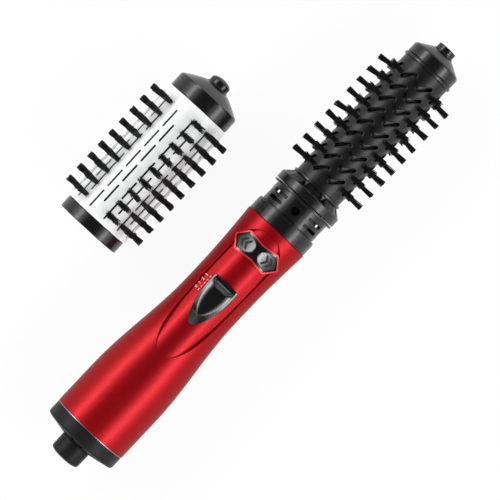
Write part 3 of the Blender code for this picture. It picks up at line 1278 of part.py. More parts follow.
def make_panel_base(axis, bristle, rows, inner, outer, rib_top):
    """Curved backing of one bristle panel, with its ribs joined on."""
    rear = SPARE_BARREL_REAR + RIB_MARGIN
    front = SPARE_BARREL_FRONT - RIB_MARGIN
    base = sector(inner, outer, rear, front, rows[0] - SPARE_PANEL_EDGE, rows[-1] + SPARE_PANEL_EDGE,
                  BACKING_STEPS)
    blank = place("panel_blank", base, bristle, axis)
    ribs = bmesh.new()
    for row in rows:
        brick((-RIB_WIDTH / 2, outer - STRIP_HEIGHT / 2, rear), (RIB_WIDTH / 2, rib_top, front), ribs,
              about_axis(row))
    shape(blank, ribs, "UNION")
    panel = bmesh.new()
    panel.from_mesh(baked(blank))
    return panel


def make_spare_panels(axis, bristle):
    """Curved bristle panels of the second head, with a rib for each row's slot in the barrel."""
    widest_facet = (SPARE_ROW_STEP / 2 - SPARE_ROW_FACET) / 2
    outer = (SPARE_BARREL_RADIUS - BARREL_WALL) * math.cos(widest_facet) - GAP
    inner = outer - STRIP_HEIGHT
    rib_top = SPARE_BARREL_RADIUS * math.cos(SPARE_ROW_FACET)
    reach = SPARE_STRAND_HALF_LENGTH
    halves = (SPARE_STRAND_ROOT_HALF, SPARE_STRAND_TIP_HALF)
    sections = [[(-half, -reach), (half, -reach), (0, reach)] for half in halves]
    for index, rows in enumerate(spare_rows(), 1):
        panel = make_panel_base(axis, bristle, rows, inner, outer, rib_top)
        for row in rows:
            strands = []
            for tuft in range(TUFTS_PER_ROW):
                z = SPARE_BARREL_REAR + SPARE_FIRST_TUFT + tuft * SPARE_TUFT_PITCH
                for part in spaced(-1, 1, SPARE_STRANDS_PER_TUFT - 1):
                    root = Vector((part * SPARE_TUFT_ROOT, rib_top, z))
                    tip = Vector((part * SPARE_TUFT_SPREAD, SPARE_TIP_RADIUS, z))
                    strands.append(strand(root, tip, *sections))
            plant(panel, about_axis(row), rib_top, strands)
        bmesh.ops.bisect_plane(panel, geom=panel.verts[:] + panel.edges[:] + panel.faces[:],
                               plane_co=(0, -SPARE_STAND, 0), plane_no=(0, -1, 0), clear_outer=True)
        bmesh.ops.holes_fill(panel, edges=[edge for edge in panel.edges if edge.is_boundary], sides=0)
        bmesh.ops.recalc_face_normals(panel, faces=panel.faces)
        place(f"spare_bristles_{index}", panel, bristle, axis)
    return inner * math.cos(SPARE_PANEL_EDGE) - GAP


def make_spare_head(axis, black, white, bristle, metal):
    tube_radius = make_spare_panels(axis, bristle)
    barrel_bore = SPARE_BARREL_RADIUS - BARREL_WALL
    widest_facet = (SPARE_ROW_STEP / 2 - SPARE_ROW_FACET) / 2
    spigot = barrel_bore * math.cos(widest_facet) - GAP
    spigot_bore = tube_radius + GAP
    spigot_front = SPARE_BARREL_REAR + HEAD_SPIGOT_LENGTH
    web_end = SOCKET_DEPTH + SOCKET_WEB
    profile = [(SOCKET_RADIUS, 0), (SPARE_BASE_RADIUS, 0), (SPARE_BASE_RADIUS, SPARE_BARREL_REAR - SEAM),
               (spigot, SPARE_BARREL_REAR - SEAM), (spigot, spigot_front), (spigot_bore, spigot_front),
               (spigot_bore, web_end), (PASSAGE_RADIUS, web_end), (PASSAGE_RADIUS, SOCKET_DEPTH),
               (SOCKET_RADIUS, SOCKET_DEPTH)]
    base = place("spare_base", turned(profile, RING_SIDES), black, axis)
    shape(base, socket_cutter(0.0), "DIFFERENCE")

    rear = SPARE_BARREL_REAR + SEAM
    front = SPARE_BARREL_FRONT - SEAM
    barrel = barrel_tube(SPARE_BARREL_RADIUS, barrel_bore, rear, front, SPARE_FIRST_ROW, SPARE_POSITIONS,
                         SPARE_ROW_FACET)
    barrel = place("spare_barrel", barrel, white, axis)
    low = spigot
    high = SPARE_BARREL_RADIUS + BARREL_WALL
    rib_half = RIB_WIDTH / 2 + GAP
    cuts = bmesh.new()
    for row in sum(spare_rows(), []):
        brick((-rib_half, low, SPARE_BARREL_REAR + RIB_MARGIN - GAP),
              (rib_half, high, SPARE_BARREL_FRONT - RIB_MARGIN + GAP), cuts, about_axis(row))
    for position in range(SPARE_POSITIONS):
        for side, stagger in ((-1, 0.0), (1, 0.5)):
            turn = about_axis(SPARE_FIRST_ROW + position * SPARE_ROW_STEP + side * SLIT_ANGLE)
            start = rear + SLIT_MARGIN + stagger * SLIT_PITCH
            while start + SLIT_LENGTH < front - SLIT_MARGIN:
                brick((-SLIT_WIDTH / 2, low, start), (SLIT_WIDTH / 2, high, start + SLIT_LENGTH), cuts, turn)
                start += SLIT_PITCH
    shape(barrel, cuts, "DIFFERENCE")

    bare_strip = SPARE_FIRST_ROW + (SPARE_ROWS_PER_PANEL - 1) / 2 * SPARE_ROW_STEP
    tube_start = max(rear, web_end + GAP)
    make_tube("spare_tube", axis, metal, tube_radius, tube_start, front, SPARE_PANELS, bare_strip)

    cap_rear = SPARE_BARREL_FRONT + SEAM
    spigot_end = SPARE_BARREL_FRONT - HEAD_SPIGOT_LENGTH
    nose = SPARE_KNOB_REAR - SEAM
    bore = KNOB_STEM_RADIUS + GAP
    middle = ((SPARE_BAND_RADIUS + SPARE_NECK_RADIUS) / 2 + SPARE_CONE_BULGE,
              (SPARE_CONE_REAR + nose) / 2 + SPARE_CONE_BULGE)
    profile = [(spigot_bore, spigot_end), (spigot, spigot_end), (spigot, cap_rear),
               (SPARE_BAND_RADIUS, cap_rear), (SPARE_BAND_RADIUS, SPARE_CONE_REAR), middle,
               (SPARE_NECK_RADIUS, nose), (bore, nose), (bore, nose - CAP_SHELL),
               (SPARE_NECK_RADIUS - CAP_SHELL, nose - CAP_SHELL), (spigot_bore, SPARE_CONE_REAR)]
    make_end("spare_cap", "spare_knob", axis, black, profile, SPARE_KNOB_REAR, SPARE_KNOB_LENGTH,
             SPARE_KNOB_RADIUS, SPARE_KNOB_EDGE)


def centre_in_plan(axes):
    """Move the axes so that the middle of the whole object's plan lies at the origin."""
    graph = bpy.context.evaluated_depsgraph_get()
    low = Vector((math.inf, math.inf))
    high = -low
    shown = [piece for piece in bpy.data.objects if piece.type != "EMPTY" and not piece.hide_render]
    for piece in shown:
        mesh = bpy.data.meshes.new_from_object(piece.evaluated_get(graph), depsgraph=graph)
        for vertex in mesh.vertices:
            point = (piece.matrix_world @ vertex.co).xy
            low = Vector(map(min, low, point))
            high = Vector(map(max, high, point))
        bpy.data.meshes.remove(mesh)
    for axis in axes:
        axis.location.xy -= (low + high) / 2


def main():
    for old in list(bpy.data.objects):
        bpy.data.objects.remove(old)

    styler = axis_empty("styler_axis", (0, 0, HEAD_TIP_RADIUS))
    reach = SPARE_OVERALL / 2
    spare_middle = Vector((SPARE_ALONG + reach, SPARE_SPACING, SPARE_STAND))
    spare_rear = spare_middle - reach * Vector((math.cos(SPARE_TURN), math.sin(SPARE_TURN), 0))
    spare = axis_empty("spare_axis", spare_rear, SPARE_TURN)

    red = finish("red_lacquer", (0.42, 0.008, 0.012), 0.32, 0.55)
    black = finish("black_plastic", (0.012, 0.012, 0.013), 0.35)
    gloss = finish("gloss_black", (0.008, 0.008, 0.009), 0.12)
    silver = finish("dark_silver", (0.22, 0.23, 0.24), 0.25, 0.8)
    white = finish("white_enamel", (0.86, 0.87, 0.87), 0.3)
    bristle = finish("black_bristle", (0.010, 0.010, 0.011), 0.5)
    steel = finish("steel", (0.55, 0.56, 0.57), 0.3, 1.0)
    brass = finish("brass", (0.72, 0.53, 0.24), 0.3, 1.0)
    grey = finish("motor_grey", (0.35, 0.36, 0.37), 0.4, 0.9)
    mica = finish("mica", (0.55, 0.48, 0.36), 0.7)
    green = finish("board_green", (0.02, 0.16, 0.06), 0.5)

    make_front_shell(styler, red)
    make_back_shell(styler, red)
    make_shell_screws(styler, steel)
    make_rear_cap(styler, black)
    make_gland(styler, black, steel)
    make_fan(styler, black, steel, grey)
    make_drive(styler, black, steel, brass, grey)
    make_mouth(styler, black)
    make_heater(styler, steel, mica, brass)
    make_board(styler, green, grey)
    make_slider(styler, gloss)
    make_buttons(styler, gloss, silver)
    make_fitted_head(styler, black, bristle, steel)
    make_spare_head(spare, black, white, bristle, steel)
    for piece in bpy.data.objects:
        if piece.modifiers:
            merge_flats(piece)
    centre_in_plan((styler, spare))


main()
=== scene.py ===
"""Looks of a rotating hot-air styling brush and its second brush head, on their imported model.

Laid out as an add-on: property groups hold the sizes and colours, one operator makes each piece or group of
like pieces, and main calls them in order. Pieces are modelled in metres in a local frame. Its Z runs along
the axis of the styler or of the second head, and its Y points up to the button side. The styler's X points
to the second head's side.
"""

import json
import math
import random

import bmesh
import bpy
from bpy.props import FloatProperty, FloatVectorProperty, IntProperty, PointerProperty
from mathutils import Matrix, Vector


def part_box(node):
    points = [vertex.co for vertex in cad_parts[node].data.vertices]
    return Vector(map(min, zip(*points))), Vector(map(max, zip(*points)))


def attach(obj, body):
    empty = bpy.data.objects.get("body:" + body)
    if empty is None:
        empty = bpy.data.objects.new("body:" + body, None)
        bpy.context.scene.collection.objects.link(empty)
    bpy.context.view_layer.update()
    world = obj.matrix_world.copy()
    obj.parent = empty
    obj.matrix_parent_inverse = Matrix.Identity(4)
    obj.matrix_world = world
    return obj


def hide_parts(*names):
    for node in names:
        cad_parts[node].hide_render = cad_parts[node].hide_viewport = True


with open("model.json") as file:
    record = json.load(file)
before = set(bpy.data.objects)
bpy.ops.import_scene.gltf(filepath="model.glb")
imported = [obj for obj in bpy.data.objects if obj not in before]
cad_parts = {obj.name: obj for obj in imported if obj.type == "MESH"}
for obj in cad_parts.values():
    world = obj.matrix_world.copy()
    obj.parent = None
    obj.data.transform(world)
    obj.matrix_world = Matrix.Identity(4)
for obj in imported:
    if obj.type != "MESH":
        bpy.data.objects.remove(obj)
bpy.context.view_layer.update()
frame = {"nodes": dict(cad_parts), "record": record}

bl_info = {
    "name": "Styling brush looks",
    "version": (1, 0, 0),
    "blender": (4, 5, 0),
    "location": "3D View > Sidebar > Styler",
    "description": "Builds the visible pieces of a rotating hot-air styling brush on its packed model",
    "category": "Object",
}

SEED = 11

# Fineness of the meshes
RING_STEPS = 96
HALF_STEPS = 72
SMOOTH_ANGLE = math.radians(32)
CREASE_ANGLE = math.radians(11)
WELD = 0.000004
PLATE_WELD = 0.00012
PLATE_SLICE = 0.0012
BUTTON_SLICE = 0.0010
ARROW_SLICE = 0.0008
TICK_SLICE = 0.0004

# Clearances, and how far cutters reach: beyond every piece, or just over a barrel
SEAM = 0.0003
FINE_SEAM = 0.0001
PARTING = 0.00008
FAR = 0.1
CUT_OVER = 0.002

# Curves of the handle and of its thumb panel
EDGE = 0.0004
FLARE_POWER = 1.6
PANEL_LEVEL_START = 0.0236
PANEL_LEVEL_END = 0.0654
PANEL_RISE_POWER = 1.2
PANEL_NOSE_RISE = 0.0012
FLANK_SLOPE = math.radians(36)
WALL_LEAN = math.radians(24)
WINDOW_LOW = 0.004
SCREW_HOLE_RADIUS = 0.0023
SCREW_HOLE_END = 0.006

# Rear cap and cord gland
INTAKE_SLOTS = 16
INTAKE_HALF_WIDTH = 0.00095
INTAKE_INNER = 0.0125
INTAKE_OUTER = 0.0222
CAP_WALL = 0.0020
CAP_HOLE = 0.0075
GLAND_LEAD = 0.0016
GLAND_NECK = 0.0070
GLAND_NECK_LENGTH = 0.0040

# Front ring and collar, with places along the collar from the ring's front
SLEEVE_LENGTH = 0.0058
RING_BORE = 0.0167
RING_SLEEVE = 0.0172
RING_STEP = 0.0004
RING_GROOVE = 0.0009
COLLAR_BORE = 0.0150
COLLAR_SLEEVE = 0.0164
COLLAR_WALL = 0.0020
COLLAR_WEB = 0.0064
FLANGE_LENGTH = 0.0015
COLLAR_CUT_INNER = 0.0156
COLLAR_CUT_OUTER = 0.03
COLLAR_HOLE_RADIUS = 0.0027
COLLAR_HOLE_AT = 0.0064
COLLAR_SLOTS_AT = (0.0041, 0.0088)
COLLAR_SLOT_HALF_WIDTH = 0.001
COLLAR_SLOT_SWEEP = math.radians(18.5)

# Slider
SLIDER_SHOULDER = 0.0270
SLIDER_CROWN = 0.0196
SLIDER_RISE_LENGTH = 0.0100
SLIDER_POINT_RISE = 0.35
SLIDER_SKIRT = 0.0007
SLIDER_BOW = 0.0007
SLIDER_EDGE = 0.0005
FRAME_SHARE = 0.92
DISH_SETBACK = 0.0075
DISH_MARGIN = 0.0013
DISH_FRONT_WALL = 0.0052
DISH_LEAST = 0.0002
DISH_STEP = 0.06
DISH_FLANK = 0.55
DISH_PARTS = (0.03, 0.1, 0.18, 0.26, 0.36, 0.48, 0.62, 1.0)

# Direction buttons, with heights from the bezel's radius
LIP_WIDTH = 0.0009
LIP_TOP = 0.0006
LIP_FOOT = -0.0030
BEZEL_TOP = -0.0002
BEZEL_FOOT = -0.0038
BUTTON_GAP = 0.0002
BUTTON_TOP = 0.0009
BUTTON_FOOT = -0.0022
BUTTON_RAMP = 0.0050
BUTTON_GENTLE = math.radians(23)
BUTTON_STEEP = math.radians(41)
ARROW_POINTS = (0.0092, 0.0120)
ARROW_STROKE = 0.0013
ARROW_WING = 0.0032
ARROW_TOP = 0.00008
ARROW_FOOT = -0.0003

# Print beside the slider, with places along it from the slider's point
DIGITS = 4
DIGIT_SIZE = 0.0026
DIGIT_ACROSS = 0.0114
DIGIT_START = 0.018542
DIGIT_PITCH = 0.0030
TICKS = 5
TICK_INNER = 0.0097
TICK_OUTER = 0.0100
TICK_START = 0.017742
TICK_PITCH = 0.0025
TICK_LENGTH = 0.0012
PRINT_HEIGHT = 0.00004
PRINT_DEPTH = 0.0002

# Socket for the drive hub, in both heads
SOCKET_RADIUS = 0.0134
SOCKET_END = 0.0115
HEAD_SOCKET_DEPTH = 0.0092
SPARE_SOCKET_DEPTH = 0.0094
PASSAGE_RADIUS = 0.0100
KEYWAYS = 3
KEYWAY_HALF_WIDTH = 0.0018
KEYWAY_INNER = 0.0108
KEYWAY_OUTER = 0.0149
KEYWAY_DEPTH = 0.0073
KEYWAY_LEAD = 0.001

# Knobs' stems, and the spigots that hold the barrels
STEM_RADIUS = 0.0027
STEM_BORE = 0.0030
STEM_LENGTH = 0.0044
NOSE_WALL = 0.002
SPIGOT_LENGTH = 0.004

# Fitted head
HEAD_SPIGOT = 0.0143
HEAD_BORE = 0.0125
FLANGE_BEVEL = 0.0008
HEAD_VENTS = 8
HEAD_VENT_HALF_WIDTH = 0.0012
HEAD_VENT_INNER = 0.0172
HEAD_VENT_OUTER = 0.0212
HEAD_VENT_LEAD = 0.0006
SLOT_LEAD = 0.0009
SLOT_FOOT = 0.0012
SLOT_CREST = 0.0007
TUFT_SOCKET_FOOT = 0.0019
TUFT_SOCKET_TOP = 0.0015
TUFT_SOCKET_HEIGHT = 0.0007
# Dark sleeve inside the fitted head's heat tube, painted shade for the slots.
SHADE_SLEEVE_RADIUS = 0.0109
SHADE_SLEEVE_WALL = 0.0003
SHADE_SLEEVE_MARGIN = 0.0005
END_RING_BORE = 0.0148
END_SPIGOT = 0.0145
END_SPIGOT_LENGTH = 0.006
BAND_LENGTH = 0.0067

# Second head
SPARE_SPIGOT = 0.0198
SPARE_BORE = 0.0178
SPARE_SKIN = 0.0003
# Wall of the black sleeve under the second head's skin, painted shade for the slits.
SPARE_SHADE_SLEEVE_WALL = 0.0004
SLIT_ANGLE = math.radians(6.1)
SLIT_MARGIN = 0.003

# Tufts
GOLDEN_TURN = 2.39996
TUFT_DEPTH = 0.001
STRAND_JITTER = 0.0001
HEAD_TUFT_LEAN = 0.0004
HEAD_TUFT_ROOT = 0.00115
HEAD_TUFT_TIP = 0.00185
HEAD_TUFT_UNEVEN = 0.0004
HEAD_TUFT_ROUNDING = 0.0005
HEAD_STRAND = (0.00021, 0.00019)
FAN_ROOT = 0.0030
FAN_ROOT_DEPTH = 0.0012
FAN_TIP = 0.0051
FAN_TIP_DEPTH = 0.0018
FAN_UNEVEN = 0.0005
FAN_ROUNDING = 0.0009
FAN_JITTER = 0.0002
FAN_STRAND = (0.00024, 0.00027)
WORN_ROW = 6
WORN_REACH = 0.0018

# Stage
WHITE = (1.0, 1.0, 1.0, 1.0)
FLOOR_LEVEL = -0.0005
FLOOR_GLOW = 0.94
FLOOR_RADIUS = 6.2
BACKDROP_RADIUS = 6.6
BACKDROP_HEIGHT = 4.0
BACKDROP_SWEEP = 1.5
ZENITH_SHARE = 0.2
AIM = Vector((0.0, -0.02, 0.03))
CAMERA_X = -0.0007
CAMERA_Y = -0.0389

# Frames of the styler and of the second head


def local_frame(origin, forward):
    """Matrix whose local Z runs along forward and whose local Y points up."""
    up = Vector((0, 0, 1))
    matrix = Matrix((up.cross(forward), up, forward)).transposed().to_4x4()
    matrix.translation = origin
    return matrix


def middle(node):
    """Middle of a node's box."""
    low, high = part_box(node)
    return (low + high) / 2


def styler_frame():
    """Frame at the rear end of the cord gland, on the handle's axis."""
    axis_point = middle("front_ring")
    return local_frame(Vector((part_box("cord_gland")[0].x, axis_point.y, axis_point.z)), Vector((1, 0, 0)))


def spare_frame():
    """Frame at the rear face of the second head, on its axis."""
    seat = next(mount for mount in frame["record"]["mounts"] if mount["name"] == "spare_seat")
    origin = Vector(seat["pos_m"])
    origin.z = middle("spare_base").z
    return local_frame(origin, -Vector(seat["axis"]).normalized())


STYLER = styler_frame()
SPARE = spare_frame()


def span(node, place=STYLER):
    """Rear and front station of a node along its axis."""
    inverse = place.inverted()
    stations = [(inverse @ vertex.co).z for vertex in frame["nodes"][node].data.vertices]
    return min(stations), max(stations)


GLAND_REAR = span("cord_gland")[0]
CAP_REAR = span("rear_cap")[0]
SHELL_REAR, SHELL_FRONT = span("front_shell")
RING_FRONT = span("front_ring")[1]
FLANGE_FRONT = span("collar")[1]
HEAD_REAR = span("head_base")[0]
BARREL_REAR, BARREL_FRONT = span("head_barrel")
END_RING_FRONT = span("end_ring")[1]
END_CAP_FRONT = span("end_cap")[1]
KNOB_FRONT = span("tip_knob")[1]
BUTTONS_AT = sum(span("button_bezel")) / 2
SLIDER_REAR, SLIDER_FRONT = span("switch_slider")
SPARE_BARREL_REAR, SPARE_BARREL_FRONT = span("spare_barrel", SPARE)
SPARE_CAP_FRONT = span("spare_cap", SPARE)[1]
SPARE_KNOB_FRONT = span("spare_knob", SPARE)[1]
DISH_REAR = SLIDER_REAR + DISH_SETBACK
DISH_FRONT = SLIDER_FRONT - DISH_MARGIN
DISH_DEEPEST = DISH_FRONT - DISH_FRONT_WALL

# Sizes and colours that can be changed


def length(name, description, default):
    """Property for one length in metres."""
    return FloatProperty(name=name, description=description, default=default, unit="LENGTH", precision=5)


def turn(name, description, degrees):
    """Property for one angle."""
    return FloatProperty(name=name, description=description, default=math.radians(degrees), subtype="ANGLE")


def count(name, description, default):
    """Property for a number of like features."""
    return IntProperty(name=name, description=description, default=default, min=1)


def power(name, description, default):
    """Property for one lamp's power."""
    return FloatProperty(name=name, description=description, default=default, unit="POWER")


def colour(name, description, default):
    """Property for one linear colour."""
    return FloatVectorProperty(name=name, description=description, default=default, subtype="COLOR", size=3,
                               min=0.0, max=1.0)


class HandleSizes(bpy.types.PropertyGroup):
    """Sizes of the red handle, its rear cap and its mouth."""

    rear_radius: length("Rear radius", "Outer radius of the handle's rear part", 0.0251)
    waist_radius: length("Waist radius", "Outer radius at the waist", 0.0197)
    mouth_radius: length("Mouth radius", "Outer radius at the front edge", 0.0217)
    wall: length("Wall", "Thickness of the shells", 0.0030)
    shoulder_start: length("Shoulder start", "From the rear edge to where the handle narrows", 0.0283)
    waist_span: length("Waist span", "From the start of the waist to the front edge", 0.0551)
    flare_length: length("Flare length", "From the start of the flare to the front edge", 0.0431)
    panel_span: length("Panel span", "From the thumb panel's point to the front edge", 0.0985)
    panel_length: length("Panel length", "Length of the sunk thumb panel", 0.0945)
    panel_half: length("Panel half width", "Half the width of the thumb panel", 0.0138)
    panel_taper: length("Panel taper", "How fast the panel widens from its point", 0.0155)
    panel_nose: length("Panel nose", "Length of the panel's rounded front end", 0.0140)
    panel_sink: length("Panel sink", "Depth of the panel's floor under the waist", 0.0007)
    panel_crown: length("Panel crown", "Radius of the panel's crowned floor", 0.0162)
    cap_radius: length("Cap radius", "Outer radius of the rear cap", 0.0249)
    cap_band: length("Cap band", "Length of the rear cap's straight band", 0.0086)
    gland_radius: length("Gland radius", "Radius of the cord gland", 0.0100)
    cord_bore: length("Cord bore", "Radius of the bore for the lead", 0.0032)
    ring_radius: length("Ring radius", "Outer radius of the black front ring", 0.0213)
    collar_radius: length("Collar radius", "Outer radius of the slotted collar", 0.0195)
    flange_radius: length("Flange radius", "Outer radius of the collar's flange", 0.0219)


class ControlSizes(bpy.types.PropertyGroup):
    """Sizes of the slider and the direction buttons."""

    slider_half: length("Slider half width", "Half the width of the slider", 0.0094)
    slider_height: length("Slider height", "Thickness of the slider above the panel", 0.0033)
    dish_half: length("Dish half width", "Half the width of the slider's thumb dish", 0.0080)
    dish_depth: length("Dish depth", "Depth of the slider's thumb dish under its rim", 0.0017)
    bezel_reach: length("Bezel reach", "From the middle line to the bezel's outer points", 0.0159)
    bezel_corner: length("Bezel corner", "From the middle line to the bezel's shoulders", 0.0109)
    bezel_half: length("Bezel half length", "Half the bezel's length at its shoulders", 0.0064)
    bezel_waist: length("Bezel waist", "Half the bezel's length at the middle line", 0.0049)
    bezel_radius: length("Bezel radius", "Radius of the bezel's top about the axis", 0.0204)
    button_rim: length("Button rim", "Black border round the buttons", 0.0012)
    button_inner: length("Button inner end", "From the middle line to the buttons' inner ends", 0.0019)


class HeadSizes(bpy.types.PropertyGroup):
    """Sizes of the fitted head."""

    flange_radius: length("Flange radius", "Outer radius of the head's flange", 0.0221)
    flange_length: length("Flange length", "Length of the head's flange", 0.0059)
    cone_radius: length("Cone radius", "Radius at the small end of the vented cone", 0.0167)
    lip_radius: length("Lip radius", "Radius of the lip behind the barrel", 0.0175)
    lip_length: length("Lip length", "Length of the lip behind the barrel", 0.0016)
    barrel_radius: length("Barrel radius", "Outer radius of the black barrel", 0.0163)
    barrel_wall: length("Barrel wall", "Wall of the barrel", 0.0014)
    rows: count("Rows", "Rows of tufts round the barrel", 8)
    tufts: count("Tufts", "Tufts in each row", 9)
    first_tuft: length("First tuft", "From the barrel's rear edge to the first tuft", 0.0083)
    last_tuft: length("Last tuft", "From the last tuft to the barrel's front edge", 0.0097)
    tip_radius: length("Tip radius", "From the axis to the tufts' tips", 0.0272)
    strands: count("Strands", "Bristles in each tuft", 26)
    slot_length: length("Slot length", "Length of an air slot", 0.0106)
    slot_width: length("Slot width", "Width of an air slot", 0.0025)
    slot_tilt: turn("Slot tilt", "Angle of the air slots from the axis", 51)
    ring_radius: length("Ring radius", "Radius of the end ring", 0.0174)
    band_radius: length("Band radius", "Radius of the end cap's band", 0.0167)
    neck_radius: length("Neck radius", "Radius at the end cap's nose", 0.0071)
    knob_radius: length("Knob radius", "Radius of the tip knob", 0.0062)


class SpareSizes(bpy.types.PropertyGroup):
    """Sizes of the second head."""

    base_radius: length("Base radius", "Outer radius of the black base", 0.0211)
    barrel_radius: length("Barrel radius", "Outer radius of the white barrel", 0.0218)
    positions: count("Positions", "Places for rows round the barrel", 12)
    panels: count("Panels", "Groups of rows, parted by bare strips", 3)
    first_row: turn("First row", "Angle of the first row from the top", 16)
    tufts: count("Tufts", "Tufts in each row", 9)
    first_tuft: length("First tuft", "From the barrel's rear edge to the first tuft", 0.0071)
    last_tuft: length("Last tuft", "From the last tuft to the barrel's front edge", 0.0081)
    tip_radius: length("Tip radius", "From the axis to the tufts' tips", 0.0296)
    strands: count("Strands", "Bristles in each tuft", 104)
    slit_length: length("Slit length", "Length of a slit in the barrel", 0.0130)
    slit_width: length("Slit width", "Width of a slit in the barrel", 0.0012)
    slit_pitch: length("Slit pitch", "Distance between slits in a line", 0.0157)
    band_radius: length("Band radius", "Radius of the cap's band", 0.0214)
    band_length: length("Band length", "Length of the cap's band", 0.0092)
    neck_radius: length("Neck radius", "Radius at the cap's nose", 0.0072)
    knob_radius: length("Knob radius", "Radius of the knob", 0.0067)


class FinishColours(bpy.types.PropertyGroup):
    """Colours of the finishes."""

    red: colour("Red lacquer", "Handle shells", (0.33, 0.004, 0.008))
    # Lighter copy of the handle's red for the lip round the buttons: a painted highlight.
    bright_red: colour("Bright red lacquer", "Lip round the direction buttons", (0.62, 0.05, 0.06))
    black: colour("Black plastic", "Caps, rings and barrels", (0.006, 0.006, 0.0065))
    matt: colour("Matt black", "Rear cap and cord gland", (0.007, 0.007, 0.0075))
    gloss: colour("Gloss black", "Slider and bezel", (0.004, 0.004, 0.0045))
    # Middle tone of the buttons; their plating lightens it into a painted highlight at the inner ends and
    # darkens it into painted shade at the points.
    silver: colour("Dark silver", "Direction buttons", (0.10, 0.102, 0.107))
    white: colour("White", "Second head's barrel", (0.87, 0.875, 0.88))
    bristle: colour("Bristle", "Tufts", (0.005, 0.005, 0.0055))
    print_white: colour("Print", "Step marks", (0.85, 0.85, 0.85))
    steel: colour("Steel", "Sheet, wire and screws", (0.58, 0.59, 0.60))
    # A metal tone darker than bare steel, so that slots and holes look dark inside: partly the tubes' own
    # tone, partly painted shade.
    dark_metal: colour("Dark metal", "Tubes inside the barrels and round the heater", (0.11, 0.11, 0.115))
    brass: colour("Brass", "Bushes and pinion", (0.70, 0.50, 0.22))
    grey: colour("Plated can", "Motors and switches", (0.38, 0.39, 0.40))
    mica: colour("Mica", "Heater frame", (0.52, 0.45, 0.33))
    board: colour("Board", "Control board", (0.015, 0.13, 0.05))


class StageSettings(bpy.types.PropertyGroup):
    """Camera, lamps and floor."""

    distance: length("Camera distance", "From the camera to the object", 2.0)
    width: length("View width", "Width of the view at the axis", 0.2935)
    heading: turn("Heading", "Angle of the styler above the picture's right", 46.7)
    strip_power: power("Strip power", "Power of each narrow strip lamp", 3.3)
    wing_power: power("Wing power", "Power of each wide lamp behind a strip", 2.2)
    small_power: power("Small power", "Power of the small lamp to the rear", 0.3)
    sky: FloatProperty(name="Sky", description="Brightness of the sky at the horizon", default=0.2)
    floor: colour("Floor", "Colour of the floor", (0.93, 0.93, 0.93))


# Mesh tools


def softened(profile, steps=4):
    """Profile of (radius, z) with rounding, given as a third number, worked into its corners."""
    points = []
    for index, corner in enumerate(profile):
        here = Vector(corner[:2])
        if len(corner) < 3:
            points.append(here)
            continue
        before = Vector(profile[index - 1][:2]) - here
        after = Vector(profile[(index + 1) % len(profile)][:2]) - here
        reach = min(corner[2], 0.48 * before.length, 0.48 * after.length)
        start = here + before.normalized() * reach
        end = here + after.normalized() * reach
        for step in range(steps + 1):
            share = step / steps
            points.append(start * (1 - share) ** 2 + here * 2 * share * (1 - share) + end * share ** 2)
    return points


def spun(profile, steps=RING_STEPS, angle=2 * math.pi, closed=True):
    """Solid of revolution about Z from a profile of (radius, z)."""
    bm = bmesh.new()
    ring = [bm.verts.new((radius, 0, z)) for radius, z in profile]
    pairs = list(zip(ring, ring[1:]))
    if closed:
        pairs.append((ring[-1], ring[0]))
    edges = [bm.edges.new(pair) for pair in pairs]
    full = angle >= 2 * math.pi
    bmesh.ops.spin(bm, geom=ring + edges, axis=(0, 0, 1), cent=(0, 0, 0), angle=angle, steps=steps,
                   use_merge=full)
    bmesh.ops.remove_doubles(bm, verts=bm.verts, dist=WELD)
    if not full:
        bmesh.ops.holes_fill(bm, edges=[edge for edge in bm.edges if edge.is_boundary], sides=0)
    bmesh.ops.recalc_face_normals(bm, faces=bm.faces)
    return bm


def sleeve(inner, outer, rear, front, steps=RING_STEPS):
    """Plain tube between two stations."""
    return spun([(inner, rear), (outer, rear), (outer, front), (inner, front)], steps)


def swept(loops, bm=None):
    """Closed solid through loops of equal length, made by extruding the first loop along."""
    bm = bm or bmesh.new()
    ring = [bm.verts.new(point) for point in loops[0]]
    edges = [bm.edges.new(pair) for pair in zip(ring, ring[1:] + ring[:1])]
    ends = [bm.faces.new(ring)]
    faces = []
    for loop in loops[1:]:
        made = bmesh.ops.extrude_edge_only(bm, edges=edges)["geom"]
        fresh = {item for item in made if isinstance(item, bmesh.types.BMVert)}
        faces += [item for item in made if isinstance(item, bmesh.types.BMFace)]
        ring = [next(edge.other_vert(vert) for edge in vert.link_edges if edge.other_vert(vert) in fresh)
                for vert in ring]
        for vert, point in zip(ring, loop):
            vert.co = point
        edges = [bm.edges.get(pair) for pair in zip(ring, ring[1:] + ring[:1])]
    ends.append(bm.faces.new(ring))
    bmesh.ops.recalc_face_normals(bm, faces=faces + ends)
    return bm


def prism(outline, low, high, bm=None, matrix=None):
    """Prism of an outline of (x, z), from low to high along Y."""
    matrix = matrix or Matrix.Identity(4)
    return swept([[matrix @ Vector((x, y, z)) for x, z in outline] for y in (low, high)], bm)


def brick(low, high, bm=None, matrix=None):
    """Box between two corners."""
    outline = [(low[0], low[2]), (high[0], low[2]), (high[0], high[2]), (low[0], high[2])]
    return prism(outline, low[1], high[1], bm, matrix)


def about_axis(angle):
    """Turn about Z that takes the button side round by an angle."""
    return Matrix.Rotation(angle, 4, "Z")


def turns(number, phase=0.0):
    """Turns that set copies evenly round the axis, the first a share of a step on from the button side."""
    return [about_axis(2 * math.pi * (index + phase) / number) for index in range(number)]


def spaced(start, end, steps):
    """Evenly spaced values, both ends included."""
    return [start + (end - start) * step / steps for step in range(steps + 1)]


def share_between(value, start, end):
    """Share of the way from start to end, held between 0 and 1."""
    return min(max((value - start) / (end - start), 0.0), 1.0)


def circle(radius, sides, centre=(0.0, 0.0)):
    """Points round a circle."""
    angles = [2 * math.pi * index / sides for index in range(sides)]
    return [(centre[0] + radius * math.cos(angle), centre[1] + radius * math.sin(angle)) for angle in angles]


